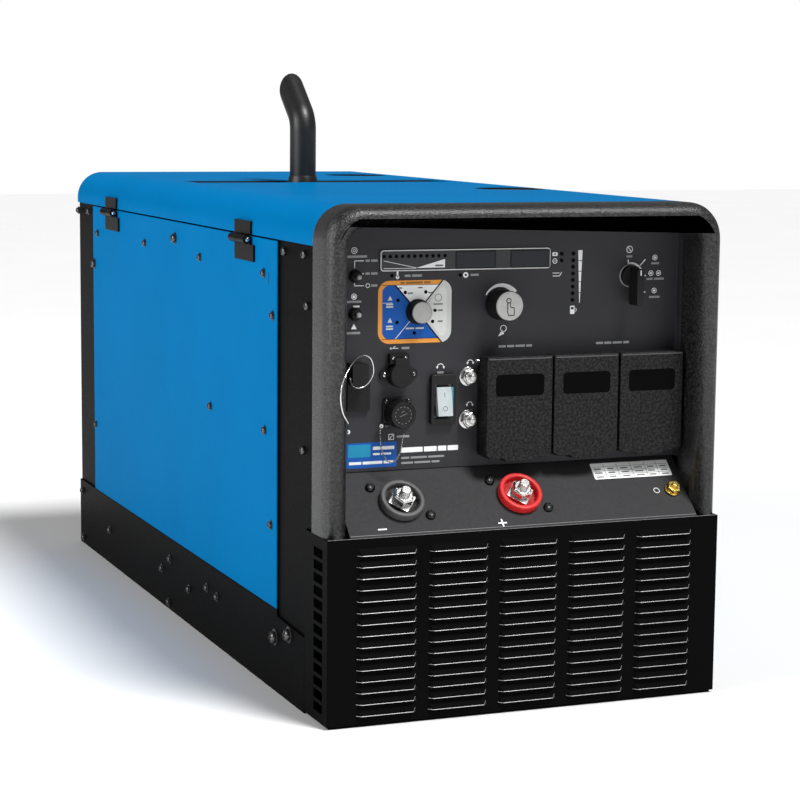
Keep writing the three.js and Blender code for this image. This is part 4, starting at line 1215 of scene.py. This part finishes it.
def covers():
    """Grained covers, each with a smooth window and a lit top edge, over a receptacle."""
    for label, x in COVER_X.items():
        body = f"{label}_receptacle_cover"
        refined(body, COVER, 2.0, 40, 4)
        front = facing_front(x, node_box(body)[0].y, 0)
        window = Piece(f"{body}_label", GLOSS, body, "cover_plastic")
        window.prism(front, rounded(-31.5, 31.5, 375, 401, 5), -0.6, 0.06).done()
        edge = Piece(f"{body}_top_edge", COVER_EDGE, body, "cover_plastic")
        edge.prism(front, rounded(-41, 41, 418.8, 420.3, 0.7, 2), -0.3, 0.1).done()
        refined(f"{label}_receptacle", PLASTIC, 0.6)
        faces = Piece(f"{label}_receptacle_slots", DARKER, slot="black_plastic")
        seat = facing_front(x, 58, 0)
        for z in (338, 378):
            faces.prism(seat, disc(0, z, 15, 40), -0.2, 0.25)
            for u in (-5, 5):
                faces.prism(seat, rounded(u - 1.2, u + 1.2, z - 1, z + 8, 0.4, 2), 0.1, 0.5)
        faces.done()
    rod = Piece("cover_hinge_rod", STEEL, slot="zinc")
    rod.lathe(facing_side(-1, 43.5, 60, 416), [(2.2, -2), (2.2, 1.6), (1.5, 2.2), (0.02, 2.3)], 20)
    rod.done()


# ---- output terminals ----
def weld_terminals():
    """Two studs with a hex nut over a square washer, each in an insulating ring."""
    for label, x, wall, ground in (("negative", -150.5, GREY, SOFT), ("positive", 1, RED, RED)):
        refined(f"{label}_insulator", wall, 0.8, 40, 3)
        at = on_slope(x, 34)
        floor = Piece(f"{label}_insulator_floor", ground, slot="black_insulator")
        floor.prism(at, disc(0, 0, 20.8, 56), 1.7, 2.1).done()
        stud = f"{label}_stud"
        nut = Piece(f"{stud}_finished", ZINC, slot="zinc")
        nut.lathe(at, [(10, 0.4), (10, 3.6)], 48)
        turn = Matrix.Rotation(0.9, 4, "Z")
        nut.prism(at @ turn, rounded(-13, 13, -13, 13, 1.2, 3), 3, 6.2)
        nut.hexagon(at, 12.7, 6.2, 16.6, 1.6, math.degrees(0.2))
        nut.lathe(at, [(10.6, 16.2), (9.6, 17), (6.4, 17)], 40)
        thread = [(6.2 - 0.35 * (i % 2), 16.5 + 0.75 * i) for i in range(13)]
        nut.lathe(at, [*thread, (5.2, 26.4)], 32)
        nut.done(0.35, replaces=(stud,))
    places = [on_slope(x, y) for x, y in ((-183, 51), (-119, 19), (-30, 51), (33, 19))]
    screws("output_screw", "chassis", places, 6, 0, SATIN)


def ground_terminal():
    ground = Piece("ground_stud_finished", BRASS, slot="brass")
    at = on_slope(206, 30)
    ground.lathe(at, [(10, 0.3), (10, 2.2), (9.4, 2.6), (4, 2.6)], 40)
    ground.hexagon(at, 9, 2.4, 8.4, 1.1, 10)
    thread = [(3.9 - 0.3 * (i % 2), 8 + 0.6 * i) for i in range(8)]
    ground.lathe(at, [*thread, (3, 13.2)], 28)
    ground.done(0.25, replaces=("ground_stud",))


def output_prints():
    """A blank ruled label, plus and minus signs, and a ring for the ground stud."""
    p = Print("output_print", on_slope(0, 0))
    rise = 1 / math.cos(SLOPE)
    left, right, low, high = 109, 215, 46 * rise, 63.5 * rise
    p.mark(WHITE, rounded(left, right, low, high, 1.5, 3), 1.4)
    for v in (low + 6, low + 12, high - 6):
        p.mark(SMOKE_INK, rect(left + 2, right - 2, v, v + 0.5), 1.9)
    for u in (126, 144, 163, 182, 198):
        p.mark(SMOKE_INK, rect(u, u + 0.5, low + 2, high - 2), 1.9)
    for row in range(3):
        v = low + 2.4 + 6 * row
        for u, w in ((112, 10), (130, 9), (148, 10), (167, 11), (185, 9), (202, 9)):
            p.mark(SMOKE_INK, rect(u, u + w, v, v + 1.8), 1.9)
    p.mark(WHITE, [(u - 32, v + 9) for u, v in cross(5.6, 1.9)], 1.4)
    p.strokes(WHITE, 1.9, (-189, 11, -178, 11), layer=1.4)
    p.ring(WHITE, 185, 42, 4, 0.7, layer=1.4)
    p.done()


def terminals():
    weld_terminals()
    ground_terminal()
    output_prints()
    # A bright strip along the output panel's front fold: a painted highlight.
    edge = Piece("output_panel_edge", EDGE_HIGHLIGHT, slot="panel_paint")
    edge.box(on_slope(0, 0), -225, 225, 3.2, 3.8, -0.1, 0.2).done()


def strip_label():
    """The plain blue plate under the sockets, with blank bars on it and beside it."""
    p = Print("strip_print", PANEL_FACE)
    p.mark(INK_BLUE, rounded(-206, -143, 293, 323, 1.5, 3), 1.2)
    p.mark(TEAL_INK, rounded(-204, -176, 306, 321, 1, 3), 1.6)
    p.caption(WHITE, -173, -146, 316, 4, (1,), 1.6)
    p.caption(WHITE, -173, -150, 309, 2.4, (1, 1.4), 1.6)
    p.caption(WHITE, -203, -147, 299, 3.4, (1, 1.6, 0.8), 1.6)
    p.caption(WHITE, -137, -64, 312, 6, (5, 3, 2, 2.5))
    p.caption(TEXT, -137, -82, 302.6, 2.4, (2, 4, 4))
    p.caption(TEXT, -137, -88, 296.6, 2.4, (3, 4, 2))
    p.done()


camera()
lanyard()
bead_chain()
studio()
shells()
inside()
side_fasteners()
hinge_pins()
lid_details()
grille_details()
panel_prints()
display()
display_glass()
knobs()
engine_switch()
toggles()
breaker()
resets()
sockets()
covers()
terminals()
strip_label()
